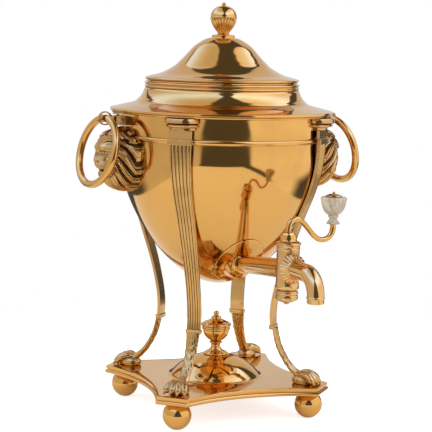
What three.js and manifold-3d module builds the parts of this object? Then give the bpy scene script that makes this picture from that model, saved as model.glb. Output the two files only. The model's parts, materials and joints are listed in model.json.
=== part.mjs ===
// A neoclassical tea urn (samovar) in polished brass, heated by a spirit burner.
// Millimetres, +Z up. The origin is on the urn's axis, level with the soles of the ball feet.
// The tap points to -Y, the ring handles are on +X and -X, and the four legs stand on the diagonals.
import * as THREE from "three";
import { mergeGeometries, mergeVertices } from "three/addons/utils/BufferGeometryUtils.js";
import Module from "manifold-3d";

const wasm = await Module();
wasm.setup();

// Shared clearances
const fit = 0.3; // gap kept between pieces that touch
const overrun = 3; // how far a cutting shape runs past what it cuts
const weldReach = 0.0001; // corners closer than this are one corner

// Numbers of facets
const bigSides = 24;
const tapSides = 16;
const midSides = 12;
const smallSides = 8;
const nutSides = 6;
const bowlSteps = 9;
const hollowSideSteps = 5; // along each hollow side of the plinth
const domeSteps = 3;
const domeUnderSteps = 2;
const ballFootSteps = 4;
const strapSteps = 6; // between two places of the strap's curve
const toeSides = [5, 4]; // round a toe, and from its one end to the other
const palmSides = [6, 4];
const cornerSteps = 2; // round each corner of a capital
const beadSteps = 2;
const finialSteps = 5;
const rivetHeadSteps = 2;
const ringSteps = 20;
const elbowSteps = 4;
const strainerSteps = 3;
const burnerKnobSteps = 4;
const halvings = 40; // when the pipe's length is found

// Ball feet and their studs
const ballRadius = 14.6;
const ballSoleRadius = 3.6; // flat that the ball rests on
const footHeight = 27; // underside of the plinth above the table
const footReach = 105.5; // from the urn's axis to each ball
const studRadius = 2.4;
const studGrip = 10; // length of stud inside the ball
const studLift = 6; // length of stud inside the paw

// Plinth
const plinthReach = 122; // from the axis to each canted corner
const cantLength = 34;
const sideReach = 82; // from the axis to the middle of each hollow side
const plinthRoll = 4.2; // height of the lower roll of the edge
const plinthGroove = 1.2;
const plinthFillet = 3;
const grooveDepth = 1.7;
const filletInset = 0.9;
const plinthHollowRadius = 74;
const plinthHollowDepth = 4.6;
const domeRadius = 49;
const domeRise = 21.8; // from the plinth's top to the burner's seat
const domeSeatRadius = 14.4;
const domeWall = 2.4;

// Urn body: a bowl whose wall follows one superellipse curve, then a plain cylinder
const bodyRadius = 107;
const bodyWall = 1.8;
const bowlBottom = 134.8; // above the table
const bowlDepth = 135.2;
const upperWallHeight = 44.4; // from the bowl to the rim
const bowlBendPower = 1.543;
const bowlFullPower = 1.793;
const bandDrop = 26.6; // from the rim to the band's lower edge
const bandHeight = 5.6;
const bandProud = 1.6;

// Shoulder with the flange and neck
const flangeRadius = 116.8;
const flangeThickness = 4.6;
const flangeGroove = 0.9;
const shoulderWall = 1.8;
const skirtDepth = 4; // locating skirt inside the body
const neckHeight = 29.1; // above the flange
const neckRadius = 80.2;
const mouthRadius = 74.6;
const beadProud = 1.3;
const beadHeight = 3;

// Lid
const brimRadius = 80.8;
const brimHeight = 3.2;
const lidRise = 41.7; // from the brim to the finial's seat
const lidWall = 1.8;
const lidSkirtDepth = 6;
const lidSkirtWall = 1.6;
const finialSeatRadius = 12.4;

// Lid finial
const finialBase = 3.6; // height of the disc under the finial
const finialNeckRadius = 5.4;
const finialFlareRadius = 7.6;
const finialBallRadius = 13.9;
const finialBallStart = -62; // degrees from the ball's waist
const finialBallEnd = 78;
const finialHeight = 36.1;
const buttonRadius = 2.3;
const buttonHeight = 3.4;
const finialStudRadius = 1.6;
const finialStudLength = 12;
const finialNutRadius = 7;
const finialNutHeight = 4.4;
const gadroonCount = 8;
const gadroonDepthShare = 0.07;

// Legs
const strapThickness = 3;
const strapTopWidth = 24;
const strapWaistWidth = 15;
const strapTopDrop = 12.4; // from the body's rim to the strap's top
const strapWaist = 140; // below this height the strap keeps one width
const fluteCount = 5;
const fluteDepth = 0.9;
const crossProud = 1.7; // cross moulding in line with the body's band
const shankHeight = 56.6; // from the plinth to the collar
const collarThickness = 5;
const collarProud = 1;
const shankTopDepth = 4.6;
const ankleWidth = 12;
const ankleDepth = 7;
const pawReach = 118; // from the axis to the tips of the toes
const pawHeight = 9.6;
const pawWidth = 30;
const toeCount = 4;
const toeSpread = 17; // degrees between neighbouring toes
const legScrewRadius = 1.8;
const legScrewDrop = 4; // from the strap's top to the screw through the vessel's wall

// Capitals
const capitalWidth = 36;
const capitalReach = 123;
const abacusHeight = 5.6;
const ovoloHeight = 4.2;
const neckingWidth = 29;

// Masks
const maskDrop = 46.4; // from the body's rim to the middle of the mask
const maskHeight = 67;
const maskWidth = 68;
const maskReach = 141; // from the axis to the tip of the nose
const maneLocks = 13;
const maneNotchPower = 4; // how late the notches between the locks set in
const maskScrewRadius = 1.6;

// Ring handles and what carries them
const ringRadius = 34.5; // to the middle of the wire
const ringWire = 4; // radius of the wire
const ringPivotReach = 129.5;
const ringPivotDrop = 5.1; // from the flange to the ring's pivot
const lugDrop = 2; // from the ring's pivot to the lug's screw and rivet
const ringLean = 14; // degrees outward at rest
const ringTwist = 10; // degrees about the vertical, loose in the eye
const eyeBore = 5.8;
const eyeWall = 2.2;
const eyeLength = 7;
const tailHeight = 8; // the eye's flat tail between the cheeks
const cheekWall = 2.6;
const cheekReach = 119.5;
const cheekHeight = 9.2;
const lugPlate = 2.6;
const rivetReach = 114;
const rivetRadius = 1.6;
const rivetHeadRadius = 3;
const rivetHead = 1.4;
const lugScrewRadius = 1.6;

// Tap body
const barrelReach = 164; // from the urn's axis to the tap's barrel
const barrelRadius = 11.4;
const barrelDrop = 18.6; // from the pipe to the barrel's lower end
const barrelRise = 26.4; // from the pipe to the barrel's top
const barrelCollar = 3;
const barrelCollarRadius = 12.2;
const pipeLift = 39.4; // from the bowl's bottom to the pipe's axis where it meets the barrel
const pipeRise = 5.7; // degrees
const pipeEndRadius = 9.4;
const pipeRootRadius = 8.6;
const pipeBore = 3.6;
const tailRadius = 5;
const bossLength = 11;
const bossRootRadius = 15.5;
const bossFrontRadius = 10.4;
const plateWidth = 50; // oval plate bent round the bowl behind the boss
const plateHeight = 72; // straight across its ends
const plateThickness = 0.8;

// Spout
const spoutReach = 59; // from the barrel's axis to the mouth
const spoutLift = 2.2; // from the pipe's axis to the spout's
const spoutBend = 19.5; // radius of the elbow
const spoutRadius = 8;
const spoutRootRadius = 8.8;
const mouthDrop = 23.6; // from the pipe's axis to the spout's mouth
const spoutBore = 4.6;
const mouthRingRadius = 8.6;
const mouthRingHeight = 3.6;
const rosetteRadius = 14.4;
const rosetteDepth = 7.5;

// Plug, lever and knob
const plugTopRadius = 7.4;
const plugBottomRadius = 5.9;
const plugPort = 3.4;
const plugStudRadius = 3;
const plugWasherThickness = 1.2;
const plugWasherRadius = 9;
const plugNutRadius = 11;
const plugNutHeight = 9;
const plugNutLength = 15.7; // from the barrel's lower end to the nut's tip
const keySquareWidth = 6.4; // square that turns the plug
const capRadius = 8.6;
const capHeight = 9.6;
const capTopRadius = 3.8;
const leverRadius = 2.9;
const leverLength = 48; // from the barrel's axis to the knob's axis
const leverArchRise = 21.9; // above the barrel's top
const leverDipRise = 1;
const leverEndRise = 16;
const knobCupRadius = 12.7;
const knobHeight = 26.4;
const knobBore = 1.7;
const knobCapRadius = 8.2;
const knobCapHeight = 5;

// Water outlet inside the vessel
const seatRadius = 8.6;
const seatReach = 15; // from the wall inwards, along the pipe
const backnutRadius = 7.4;
const backnutThickness = 3.6;
const strainerRadius = 7.4;
const strainerThickness = 1;
const strainerHole = 1;
const strainerHoles = 6;

// Spirit burner
const burnerFootRadius = 13.2;
const burnerFootHeight = 3;
const burnerStemRadius = 5.2;
const burnerStemHeight = 14.6;
const burnerBowlRadius = 15.4;
const burnerRim = 28.5; // height of the bowl's rim above the burner's seat
const burnerWall = 1.4;
const burnerDiscThickness = 1.6;
const wickTubeRadius = 4.4;
const wickTubeWall = 0.9;
const wickTubeHeight = 5.6;
const wickRadius = 3.1;
const wickLength = 17;
const burnerCapRise = 6.8;
const burnerKnobRadius = 2.9;
const burnerKnobHeight = 5;
const burnerKnobStart = -50; // degrees from the knob's waist
const burnerBeadHeight = 3;

// Sizes that follow from the ones above
const ballCentre = Math.sqrt(ballRadius ** 2 - ballSoleRadius ** 2);
const plinthTop = footHeight + plinthRoll + plinthGroove + plinthFillet;
const burnerSeat = plinthTop + domeRise;
const bowlTop = bowlBottom + bowlDepth;
const bodyRim = bowlTop + upperWallHeight;
const bandBottom = bodyRim - bandDrop;
const bandReach = bodyRadius + bandProud;
const strapTop = bodyRim - strapTopDrop;
const collarHeight = plinthTop + shankHeight;
const legScrewHeight = strapTop - legScrewDrop;
const maskCentre = bodyRim - maskDrop;
const strapTopReach = bandReach + fit + strapThickness / 2;
const capitalTop = bodyRim - fit;
const flangeBottom = bodyRim + fit;
const flangeTop = flangeBottom + flangeThickness;
const neckTop = flangeTop + neckHeight;
const lidSeat = neckTop + fit;
const lidBrimTop = lidSeat + brimHeight;
const lidCrown = lidBrimTop + lidRise;
const finialTop = lidCrown + fit + finialHeight;
const ringPivotHeight = flangeBottom - ringPivotDrop;
const pipeHeight = bowlBottom + pipeLift;
const barrelBottom = pipeHeight - barrelDrop;
const barrelTop = pipeHeight + barrelRise;
const spoutHeight = pipeHeight + spoutLift;
const spoutMouthBottom = pipeHeight - mouthDrop;
const plugNutTip = barrelBottom - plugNutLength;
const leverArch = barrelTop + leverArchRise;
const leverDip = barrelTop + leverDipRise;
const leverEnd = barrelTop + leverEndRise;
const quarterTurn = Math.PI / 2;

// Shares of the sizes they are multiplied by, chosen by hand
// Leg's middle line: reach as a share of the reach at its top, height as a share of the strap's top
const strapCurveShares = [
  [0.585, 0.305], [0.579, 0.35], [0.595, 0.41], [0.655, 0.505], [0.738, 0.599],
  [0.82, 0.687], [0.91, 0.775], [0.972, 0.846], [1, 0.953], [1, 1],
];
// Shank from the collar to the ankle: reach as a share of the paw's reach, height of the drop from
// the collar to the plinth, width between the strap's and the ankle's, depth between its two ends
const shankShares = [
  [0.562, 1, 0, 0], [0.578, 0.84, 0.2, 0.2], [0.61, 0.64, 0.6, 0.4],
  [0.672, 0.41, 1, 0.6], [0.735, 0.255, 1.1, 0.85], [0.8, 0.16, 0.8, 1.2],
];
// Shoulder: radius between the neck's and the flange's, height between the flange and the neck's top
const shoulderShares = [
  [0.66, 0.1], [0.33, 0.21], [0.2, 0.33], [0.125, 0.44], [0.07, 0.56], [0.035, 0.68],
];
// Lid: radius between the finial's seat and the brim, height between the brim and the crown
const lidShares = [
  [0.93, 0.02], [0.76, 0.095], [0.58, 0.25], [0.48, 0.39], [0.37, 0.58], [0.25, 0.79],
  [0.1, 0.95],
];
// Mask: rings of the carving, from its middle to its rim
const maskRimShares = [0.12, 0.36, 0.58, 0.78, 0.92, 0.99, 1];
const maskDomeShare = 0.72;
const maskBluntness = 4;
const maneNotchShare = 0.16;
const maneNotchDepthShare = 0.8;
// Bumps on the mask: place across (on both sides) and up, spread across and up, and rise
const maskBumpShares = [
  [0, 0.68, 0.55, 0.24, 0.2], [0.24, 0.36, 0.17, 0.12, 0.16], [0, 0.1, 0.13, 0.34, 0.26],
  [0.14, -0.16, 0.19, 0.15, 0.13], [0, -0.5, 0.26, 0.2, 0.12], [0.78, 0.62, 0.15, 0.15, 0.22],
];
// Lever: distance as a share of its length, height as a share of the arch above the dip
const leverShares = [
  [0, 0.2], [0, 0.62], [0.05, 0.88], [0.165, 1], [0.29, 0.88], [0.42, 0.58], [0.56, 0.22],
  [0.7, 0.02], [0.84, 0.02], [0.95, 0.2], [1, 0.5], [1, 0.7],
];
// Knob: radius as a share of the cup's radius, height as a share of the knob's height
const knobShares = [
  [0.5, 0], [0.5, 0.055], [0.36, 0.12], [0.285, 0.2], [0.4, 0.27], [0.4, 0.31],
  [0.62, 0.42], [0.84, 0.6], [0.95, 0.8], [1, 0.93], [0.97, 1],
];
// Burner's bowl: radius as a share of the bowl's radius, height between the stem's top and the rim
const burnerBowlShares = [[0.4, 0], [0.66, 0.2], [0.86, 0.42], [0.97, 0.66], [1, 0.82]];
// Burner's cap: radius as a share of the bowl's radius, height as a share of the cap's rise
const burnerCapShares = [[0.97, 0.1], [0.86, 0.36], [0.64, 0.66], [0.4, 0.9], [0.3, 1]];
const burnerCapInnerShare = 0.8; // of the burner's wall
// Bead under the cap: radius as a share of the bowl's radius, height as a share of the bead's
const burnerBeadShares = [[1.02, 0], [1.06, 0.3], [1.02, 0.6]];
// Burner's foot and stem: radius and height as shares of their own
const burnerFootShares = [[1, 0], [1, 0.5], [0.8, 1]];
const burnerStemShares = [[1.15, 0.42], [1, 0.56], [1, 0.86]];
const burnerInnerShare = 0.3; // how far the bowl's inner face is lifted, of its wall
const burnerFloorShare = 0.2; // of the bowl's rise
// Cap's knob: its neck's radius, the neck's height and the middle of its ball
const burnerKnobShares = { neck: 0.6, neckHeight: 0.15, middle: 0.58 };
// Strap: part of its height over which its slope is measured
const strapSlopeShare = 0.01;
// Paw: as shares of its width, and the last three of its height
const pawShares = {
  heel: 0.9, toeLength: 0.58, palmPlace: 0.36, palmLength: 0.44, palmWidth: 0.34,
  toeHeight: 0.66, toeLift: 0.3, palmLift: 0.16,
};
const toeWidthShare = 0.56; // of a toe's part of the paw's width, so that neighbours merge
const capitalCornerShare = 0.32; // radius of a capital's corners, of its width
// Head of a screw through the vessel's wall: radius and height as shares of the screw's radius
const screwHeadShares = [[0, -1.1], [1.4, -0.88], [2, 0]];
const screwClearShare = 2.2; // the head's radius with its clearance
const bandFrontShares = [0.25, 0.75]; // lower and upper edge of the band's flat front
const beadPlaceShares = [2.1, 0.9]; // middles of the neck's beads below its top, of their height
const beadSinkShare = 0.2; // of how proud the beads stand
// Flange's edge: inset as a share of its groove, height as a share of its thickness
const flangeEdgeShares = [[1, 0], [1, 2 / 6], [2, 2.5 / 6], [0, 3.2 / 6], [0, 1]];
const shoulderDropShare = 0.8; // how far the inner face lies lower, of the wall
const flangeDropShare = 0.6;
const neckBoreShare = 0.66; // where the neck's straight bore starts, of the shoulder's rise
const lidInnerShares = [0.7, 0.9]; // inset and drop of the lid's inner face, of its wall
// Lid's brim: inset and height as shares of its height
const brimShares = [[0.6, 0], [0, 0.4], [0.2, 0.8]];
// Finial: its ball's height of its width, the disc's edge and the neck's height of the disc's
// height, and the neck's flare of the neck's radius
const finialShares = { ball: 0.84, edge: 0.3, neckHeight: 0.7, flare: 1.5 };
// Button on the finial: radius and height as shares of its own
const buttonShares = [[0.7, 0], [1, 0.5], [0.6, 1], [0, 1]];
const maskHoleShare = 0.4; // of the carving's depth
const maskScrewShare = 0.38;
const straightShare = 0.001; // how far sideways a bar may run and still count as straight
const spoutRootShare = 0.6; // of the barrel's radius, as the next three are
const rosetteSinkShare = 0.75;
const rosetteBackShare = 0.7;
const pipeSinkShare = 0.4;
const collarRoundShares = [0.3, 0.8]; // of the collar's height
// Rosette: radius and height as shares of its own
const rosetteShares = [[1, 0.3], [0.96, 0.5]];
// Mouth: waist and neck as shares of the spout's radius, heights as shares of the ring's height
const mouthWaistShares = [0.92, 1];
const mouthRingShares = [1.3, 1.8];
const mouthNeckShares = [0.9, 2.2];
// Boss's waist: of its front radius and of its length
const bossWaistShares = [1.1, 0.5];
const strainerPlaceShare = 0.68; // from the middle to the holes, of the pipe's bore
const plugStudShare = 0.7; // of the nut's height
const keySquareShare = 0.5; // of the bell's height, as the next two are
const leverRootShare = 0.3;
const pinHoleShare = 0.7;
const plugNutBoreShare = 0.62; // of the nut's height
// Plug nut: radius as a share of its own, height of the tip, and then of the ringed part
const plugNutTipShares = [[0.2, 0], [0.55, 0.45]];
const plugNutRingShares = [
  [0.94, 0], [1, 1 / 6], [0.95, 2 / 6], [1, 3 / 6], [0.95, 4 / 6], [1, 5 / 6], [0.97, 1],
];
// Bell of the lever and cap of the knob: radius and height as shares of their own
const bellShares = [[1, 0], [1, 0.14], [0.92, 0.4], [0.78, 0.75]];
const knobCapShares = [[1, 0], [0.9, 0.25], [0.5, 0.55], [0.2, 1], [0, 1]];

// Materials
const brass = (roughness = 0.16) =>
  new THREE.MeshStandardMaterial({ color: 0xd8a657, roughness, metalness: 1 });
const castBrass = () => brass(0.32);
const bone = () => new THREE.MeshStandardMaterial({ color: 0xe2d8c4, roughness: 0.45 });
const cotton = () => new THREE.MeshStandardMaterial({ color: 0xd9cfb8, roughness: 0.95 });

const samovar = new THREE.Group();

// Adds one named piece to a group.
function place(parent, name, geometry, material) {
  const mesh = new THREE.Mesh(geometry, material);
  mesh.name = name;
  mesh.geometry.computeVertexNormals();
  parent.add(mesh);
  return mesh;
}

// A surface with its shared corners merged and its collapsed triangles dropped.
function closed(geometry) {
  const bare = geometry.index ? geometry.toNonIndexed() : geometry.clone();
  bare.deleteAttribute("normal");
  bare.deleteAttribute("uv");
  const merged = mergeVertices(bare, weldReach);
  const corners = merged.index.array;
  const kept = [];
  for (let i = 0; i < corners.length; i += 3) {
    const [a, b, c] = [corners[i], corners[i + 1], corners[i + 2]];
    if (a !== b && b !== c && c !== a) kept.push(a, b, c);
  }
  merged.setIndex(kept);
  return merged;
}

function toSolid(geometry) {
  const surface = closed(geometry);
  return new wasm.Manifold(
    new wasm.Mesh({
      numProp: 3,
      vertProperties: surface.attributes.position.array,
      triVerts: new Uint32Array(surface.index.array),
    }),
  );
}

function toGeometry(solid) {
  const mesh = solid.getMesh();
  const geometry = new THREE.BufferGeometry();
  geometry.setAttribute("position", new THREE.BufferAttribute(mesh.vertProperties, 3));
  geometry.setIndex(new THREE.BufferAttribute(mesh.triVerts, 1));
  return geometry;
}

const join = (...pieces) => toGeometry(pieces.map(toSolid).reduce((a, b) => a.add(b)));
const cut = (piece, ...tools) =>
  toGeometry(tools.map(toSolid).reduce((a, b) => a.subtract(b), toSolid(piece)));
const common = (piece, other) => toGeometry(toSolid(piece).intersect(toSolid(other)));

// A turned piece about the Z axis, from an outline of [radius, height] points that starts and ends on
// the axis or closes on itself. The outline goes round anticlockwise, so that faces point out.
function turned(outline, sides) {
  const area = outline.reduce((sum, [r, z], i) => {
    const [nextR, nextZ] = outline[(i + 1) % outline.length];
    return sum + r * nextZ - nextR * z;
  }, 0);
  const points = area < 0 ? [...outline].reverse() : [...outline];
  if (points[0][0] > 0) points.push(points[0]);
  const profile = points.map(([r, z]) => new THREE.Vector2(r, z));
  return closed(new THREE.LatheGeometry(profile, sides)).rotateX(quarterTurn);
}

// Points of an arc from one angle to another, in degrees, about a centre in an outline.
function arc(centreR, centreZ, radius, from, to, steps) {
  return Array.from({ length: steps + 1 }, (_, i) => {
    const angle = THREE.MathUtils.degToRad(from + ((to - from) * i) / steps);
    return [centreR + radius * Math.cos(angle), centreZ + radius * Math.sin(angle)];
  });
}

const rod = (radius, from, to, sides) =>
  turned([[0, from], [radius, from], [radius, to], [0, to]], sides);

const tube = (inner, outer, from, to, sides) =>
  turned([[inner, from], [outer, from], [outer, to], [inner, to]], sides);

// A hexagonal nut with a round hole.
const hexNut = (hole, radius, from, to) =>
  cut(rod(radius, from, to, nutSides), rod(hole, from - overrun, to + overrun, midSides));

const block = (width, depth, height, x, y, z) =>
  new THREE.BoxGeometry(width, depth, height).translate(x, y, z);

const ball = (rx, ry, rz, x, y, z, across, up) =>
  closed(new THREE.SphereGeometry(1, across, up)).scale(rx, ry, rz).translate(x, y, z);

// Turns a piece made along +Z so that it runs along another direction from a point.
function aim(geometry, from, direction) {
  const turn = new THREE.Quaternion().setFromUnitVectors(
    new THREE.Vector3(0, 0, 1),
    direction.clone().normalize(),
  );
  return geometry.applyQuaternion(turn).translate(from.x, from.y, from.z);
}

// A closed skin over a row of rings that have the same number of points, fanned shut at both ends.
function loft(rings) {
  const count = rings[0].length;
  const points = rings.flat();
  const faces = [];
  for (let r = 0; r + 1 < rings.length; r++)
    for (let i = 0; i < count; i++) {
      const a = r * count + i;
      const b = r * count + ((i + 1) % count);
      faces.push(a, b, a + count, b, b + count, a + count);
    }
  const shut = (ring, offset, facing) => {
    const flat = ring.map((p) => new THREE.Vector2(facing.acrossOf(p), facing.upOf(p)));
    return THREE.ShapeUtils.triangulateShape(flat, []).map((f) => f.map((i) => i + offset));
  };
  const frame = ringFrame(rings[0]);
  const endFrame = ringFrame(rings[rings.length - 1]);
  shut(rings[0], 0, frame).forEach(([a, b, c]) => faces.push(c, b, a));
  shut(rings[rings.length - 1], (rings.length - 1) * count, endFrame).forEach((f) =>
    faces.push(...f),
  );
  const sixfold = faces.reduce((sum, _, i) => {
    if (i % 3) return sum;
    const [a, b, c] = [points[faces[i]], points[faces[i + 1]], points[faces[i + 2]]];
    return sum + a.dot(b.clone().cross(c));
  }, 0);
  const geometry = new THREE.BufferGeometry().setFromPoints(points);
  geometry.setIndex(sixfold < 0 ? faces.reverse() : faces);
  return geometry;
}

// Two directions in a ring's own plane, so that it can be triangulated flat.
function ringFrame(ring) {
  const centre = ring.reduce((s, p) => s.add(p), new THREE.Vector3()).divideScalar(ring.length);
  const across = ring[0].clone().sub(centre).normalize();
  const normal = new THREE.Vector3();
  ring.forEach((p, i) => {
    const q = ring[(i + 1) % ring.length];
    normal.add(p.clone().sub(centre).cross(q.clone().sub(centre)));
  });
  const up = normal.normalize().clone().cross(across).normalize();
  return {
    acrossOf: (p) => p.clone().sub(centre).dot(across),
    upOf: (p) => p.clone().sub(centre).dot(up),
  };
}

// Body's outside radius at a height, for the bowl and the cylinder above it.
function bodyReachAt(height) {
  const drop = Math.min(1, Math.max(0, (bowlTop - height) / (bowlTop - bowlBottom)));
  return bodyRadius * (1 - drop ** bowlBendPower) ** (1 / bowlFullPower);
}

// Bowl's outline from the axis to its top, moved out or in by an offset.
function bowlOutline(offset) {
  const radius = bodyRadius + offset;
  const depth = bowlTop - bowlBottom + offset;
  return Array.from({ length: bowlSteps + 1 }, (_, i) => {
    const angle = (quarterTurn * i) / bowlSteps;
    return [
      radius * Math.sin(angle) ** (2 / bowlFullPower),
      bowlTop - depth * Math.max(0, Math.cos(angle)) ** (2 / bowlBendPower),
    ];
  });
}

// The urn's outside shape grown by an offset, as a cutting tool for what sits against it.
const bodyTool = (offset) =>
  turned([...bowlOutline(offset), [bodyRadius + offset, neckTop], [0, neckTop]], bigSides);

// The four diagonals, with the names of the corners seen from the tap's side
const corners = [
  ["front_right", -45], ["back_right", 45], ["back_left", 135], ["front_left", -135],
];
// The two sides that carry the masks and ring handles
const sides = [["right", 0], ["left", 180]];

const turnedGroup = (parent, degrees) => {
  const group = new THREE.Group();
  group.rotation.z = THREE.MathUtils.degToRad(degrees);
  parent.add(group);
  return group;
};

// Tool for a hole through the vessel's wall, along a side's radial direction.
const wallHole = (radius, height, degrees) =>
  aim(
    rod(radius + fit, 0, bodyRadius + overrun, smallSides),
    new THREE.Vector3(0, 0, height),
    new THREE.Vector3(1, 0, 0),
  ).rotateZ(THREE.MathUtils.degToRad(degrees));

// Plinth
// Outline of the square with hollow sides and canted corners, drawn in by an inset.
function plinthOutline(inset) {
  const reach = plinthReach - inset;
  const halfCant = cantLength / 2 - inset * Math.tan(quarterTurn / 4);
  const shape = new THREE.Shape();
  corners.forEach(([, degrees], i) => {
    const angle = THREE.MathUtils.degToRad(degrees);
    const out = new THREE.Vector2(Math.cos(angle), Math.sin(angle));
    const along = new THREE.Vector2(-out.y, out.x);
    const first = out.clone().multiplyScalar(reach).addScaledVector(along, -halfCant);
    const last = out.clone().multiplyScalar(reach).addScaledVector(along, halfCant);
    if (i === 0) shape.moveTo(first.x, first.y);
    shape.lineTo(last.x, last.y);
    // The hollow side is the arc through this corner's end, the side's middle and the next corner.
    const middleAngle = angle + quarterTurn / 2;
    const middle = new THREE.Vector2(Math.cos(middleAngle), Math.sin(middleAngle));
    const endReach = last.dot(middle);
    const halfSide = Math.abs(last.x * middle.y - last.y * middle.x);
    const sag = endReach - (sideReach - inset);
    const radius = (halfSide ** 2 + sag ** 2) / (2 * sag);
    const centre = middle.clone().multiplyScalar(sideReach - inset + radius);
    const half = Math.asin(halfSide / radius);
    const facing = middleAngle + Math.PI;
    shape.absarc(centre.x, centre.y, radius, facing + half, facing - half, true);
  });
  return shape;
}

function plinthSlab(inset, bottom, height) {
  const settings = { depth: height, bevelEnabled: false, curveSegments: hollowSideSteps };
  return new THREE.ExtrudeGeometry(plinthOutline(inset), settings).translate(0, 0, bottom);
}

function makePlinth() {
  const grooveBottom = footHeight + plinthRoll;
  const filletBottom = grooveBottom + plinthGroove;
  // The dome is part of a ball whose centre is on the axis, cut flat for the burner's foot.
  const sink = (domeRadius ** 2 - domeSeatRadius ** 2 - domeRise ** 2) / (2 * domeRise);
  const domeBall = Math.hypot(domeRadius, sink);
  const edgeAngle = THREE.MathUtils.radToDeg(Math.atan2(sink, domeRadius));
  const seatAngle = THREE.MathUtils.radToDeg(Math.atan2(sink + domeRise, domeSeatRadius));
  const domeCentre = plinthTop - sink;
  const rise = arc(0, domeCentre, domeBall, edgeAngle, seatAngle, domeSteps);
  const dome = turned([[0, grooveBottom], [domeRadius, grooveBottom], ...rise, [0, burnerSeat]], bigSides);
  const crownAngle = THREE.MathUtils.radToDeg(quarterTurn);
  const under = arc(0, domeCentre, domeBall - domeWall, edgeAngle, crownAngle, domeUnderSteps);
  const hollowTop = footHeight + plinthHollowDepth;
  const hollow = turned(
    [
      [0, footHeight - overrun],
      [plinthHollowRadius, footHeight - overrun],
      [plinthHollowRadius, hollowTop],
      [under[0][0], hollowTop],
      ...under.filter(([, z]) => z > hollowTop),
    ],
    bigSides,
  );
  const studs = corners.map(([, degrees]) =>
    rod(studRadius + fit, footHeight - overrun, plinthTop + overrun, smallSides)
      .translate(footReach, 0, 0)
      .rotateZ(THREE.MathUtils.degToRad(degrees)),
  );
  const slabs = [
    plinthSlab(0, footHeight, plinthRoll),
    plinthSlab(grooveDepth, footHeight + plinthRoll / 2, plinthRoll / 2 + plinthGroove + plinthFillet / 2),
    plinthSlab(filletInset, filletBottom, plinthFillet),
  ];
  return cut(join(...slabs, dome), hollow, ...studs);
}

place(samovar, "plinth", makePlinth(), brass());

// Ball feet and studs
function makeBallFoot() {
  const soleAngle = THREE.MathUtils.radToDeg(Math.asin(-ballCentre / ballRadius));
  const top = footHeight - fit;
  const topAngle = THREE.MathUtils.radToDeg(Math.asin((top - ballCentre) / ballRadius));
  const wall = arc(0, ballCentre, ballRadius, soleAngle, topAngle, ballFootSteps);
  const hole = studRadius + fit;
  const holeBottom = footHeight - studGrip - fit;
  return turned([[0, 0], ...wall, [hole, top], [hole, holeBottom], [0, holeBottom]], midSides);
}

// Legs
function strapReachAt(height) {
  const curve = new THREE.CatmullRomCurve3(
    strapCurveShares.map(([r, h]) => new THREE.Vector3(r * strapTopReach, 0, h * strapTop)),
    false,
    "centripetal",
  );
  const samples = curve.getPoints(strapCurveShares.length * strapSteps);
  const above = samples.findIndex((p) => p.z >= height);
  const next = samples[Math.max(1, above)];
  const last = samples[Math.max(1, above) - 1];
  const share = (height - last.z) / (next.z - last.z);
  const drawn = last.x + (next.x - last.x) * share;
  return Math.max(drawn, bodyReachAt(height) + fit + strapThickness / 2);
}

function strapWidthAt(height) {
  const share = Math.max(0, (height - strapWaist) / (strapTop - strapWaist));
  return strapWaistWidth + (strapTopWidth - strapWaistWidth) * share;
}

// A cross-section of the strap: flat back, and a front with half-round flutes.
function strapRing(height, slope, flutes) {
  const half = strapWidthAt(height) / 2;
  const reach = strapReachAt(height);
  const front = strapThickness / 2;
  const outline = [[half, -front]];
  const pitch = (2 * half) / fluteCount;
  for (let i = 0; i < fluteCount; i++) {
    const start = half - pitch * i;
    outline.push([start, front], [start - pitch / 2, front - flutes * fluteDepth]);
  }
  outline.push([-half, front], [-half, -front]);
  const out = new THREE.Vector3(Math.cos(slope), 0, -Math.sin(slope));
  return outline.map(
    ([side, depth]) =>
      new THREE.Vector3(reach + out.x * depth, side, height + out.z * depth),
  );
}

function strapSlope(height) {
  const step = strapTop * strapSlopeShare;
  const low = Math.max(collarHeight, height - step);
  const high = Math.min(strapTop, height + step);
  return Math.atan2(strapReachAt(high) - strapReachAt(low), high - low);
}

function makeStrap() {
  const heights = strapCurveShares.map(([, h]) => h * strapTop);
  const rings = heights.map((h) => strapRing(h, strapSlope(h), h < bandBottom ? 1 : 0));
  return loft(rings);
}

// A rounded cross-section across the shank, square to its middle line.
function shankRing(reach, height, slope, width, depth) {
  const ring = [];
  for (let i = 0; i < smallSides; i++) {
    const angle = (2 * Math.PI * i) / smallSides;
    const side = (Math.cos(angle) * width) / 2;
    const across = (Math.sin(angle) * depth) / 2;
    ring.push(
      new THREE.Vector3(
        reach + Math.cos(slope) * across,
        side,
        height - Math.sin(slope) * across,
      ),
    );
  }
  return ring;
}

function makeShank() {
  const drop = collarHeight - plinthTop;
  const stops = shankShares.map(([reach, height, slim, deep]) => ({
    reach: reach * pawReach,
    height: plinthTop + height * drop,
    width: strapWaistWidth + (ankleWidth - strapWaistWidth) * slim,
    depth: shankTopDepth + (ankleDepth - shankTopDepth) * deep,
  }));
  const rings = stops.map((stop, i) => {
    const before = stops[Math.max(0, i - 1)];
    const after = stops[Math.min(stops.length - 1, i + 1)];
    const slope = Math.atan2(before.reach - after.reach, before.height - after.height);
    return shankRing(stop.reach, stop.height, slope, stop.width, stop.depth);
  });
  return loft(rings.reverse());
}

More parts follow.
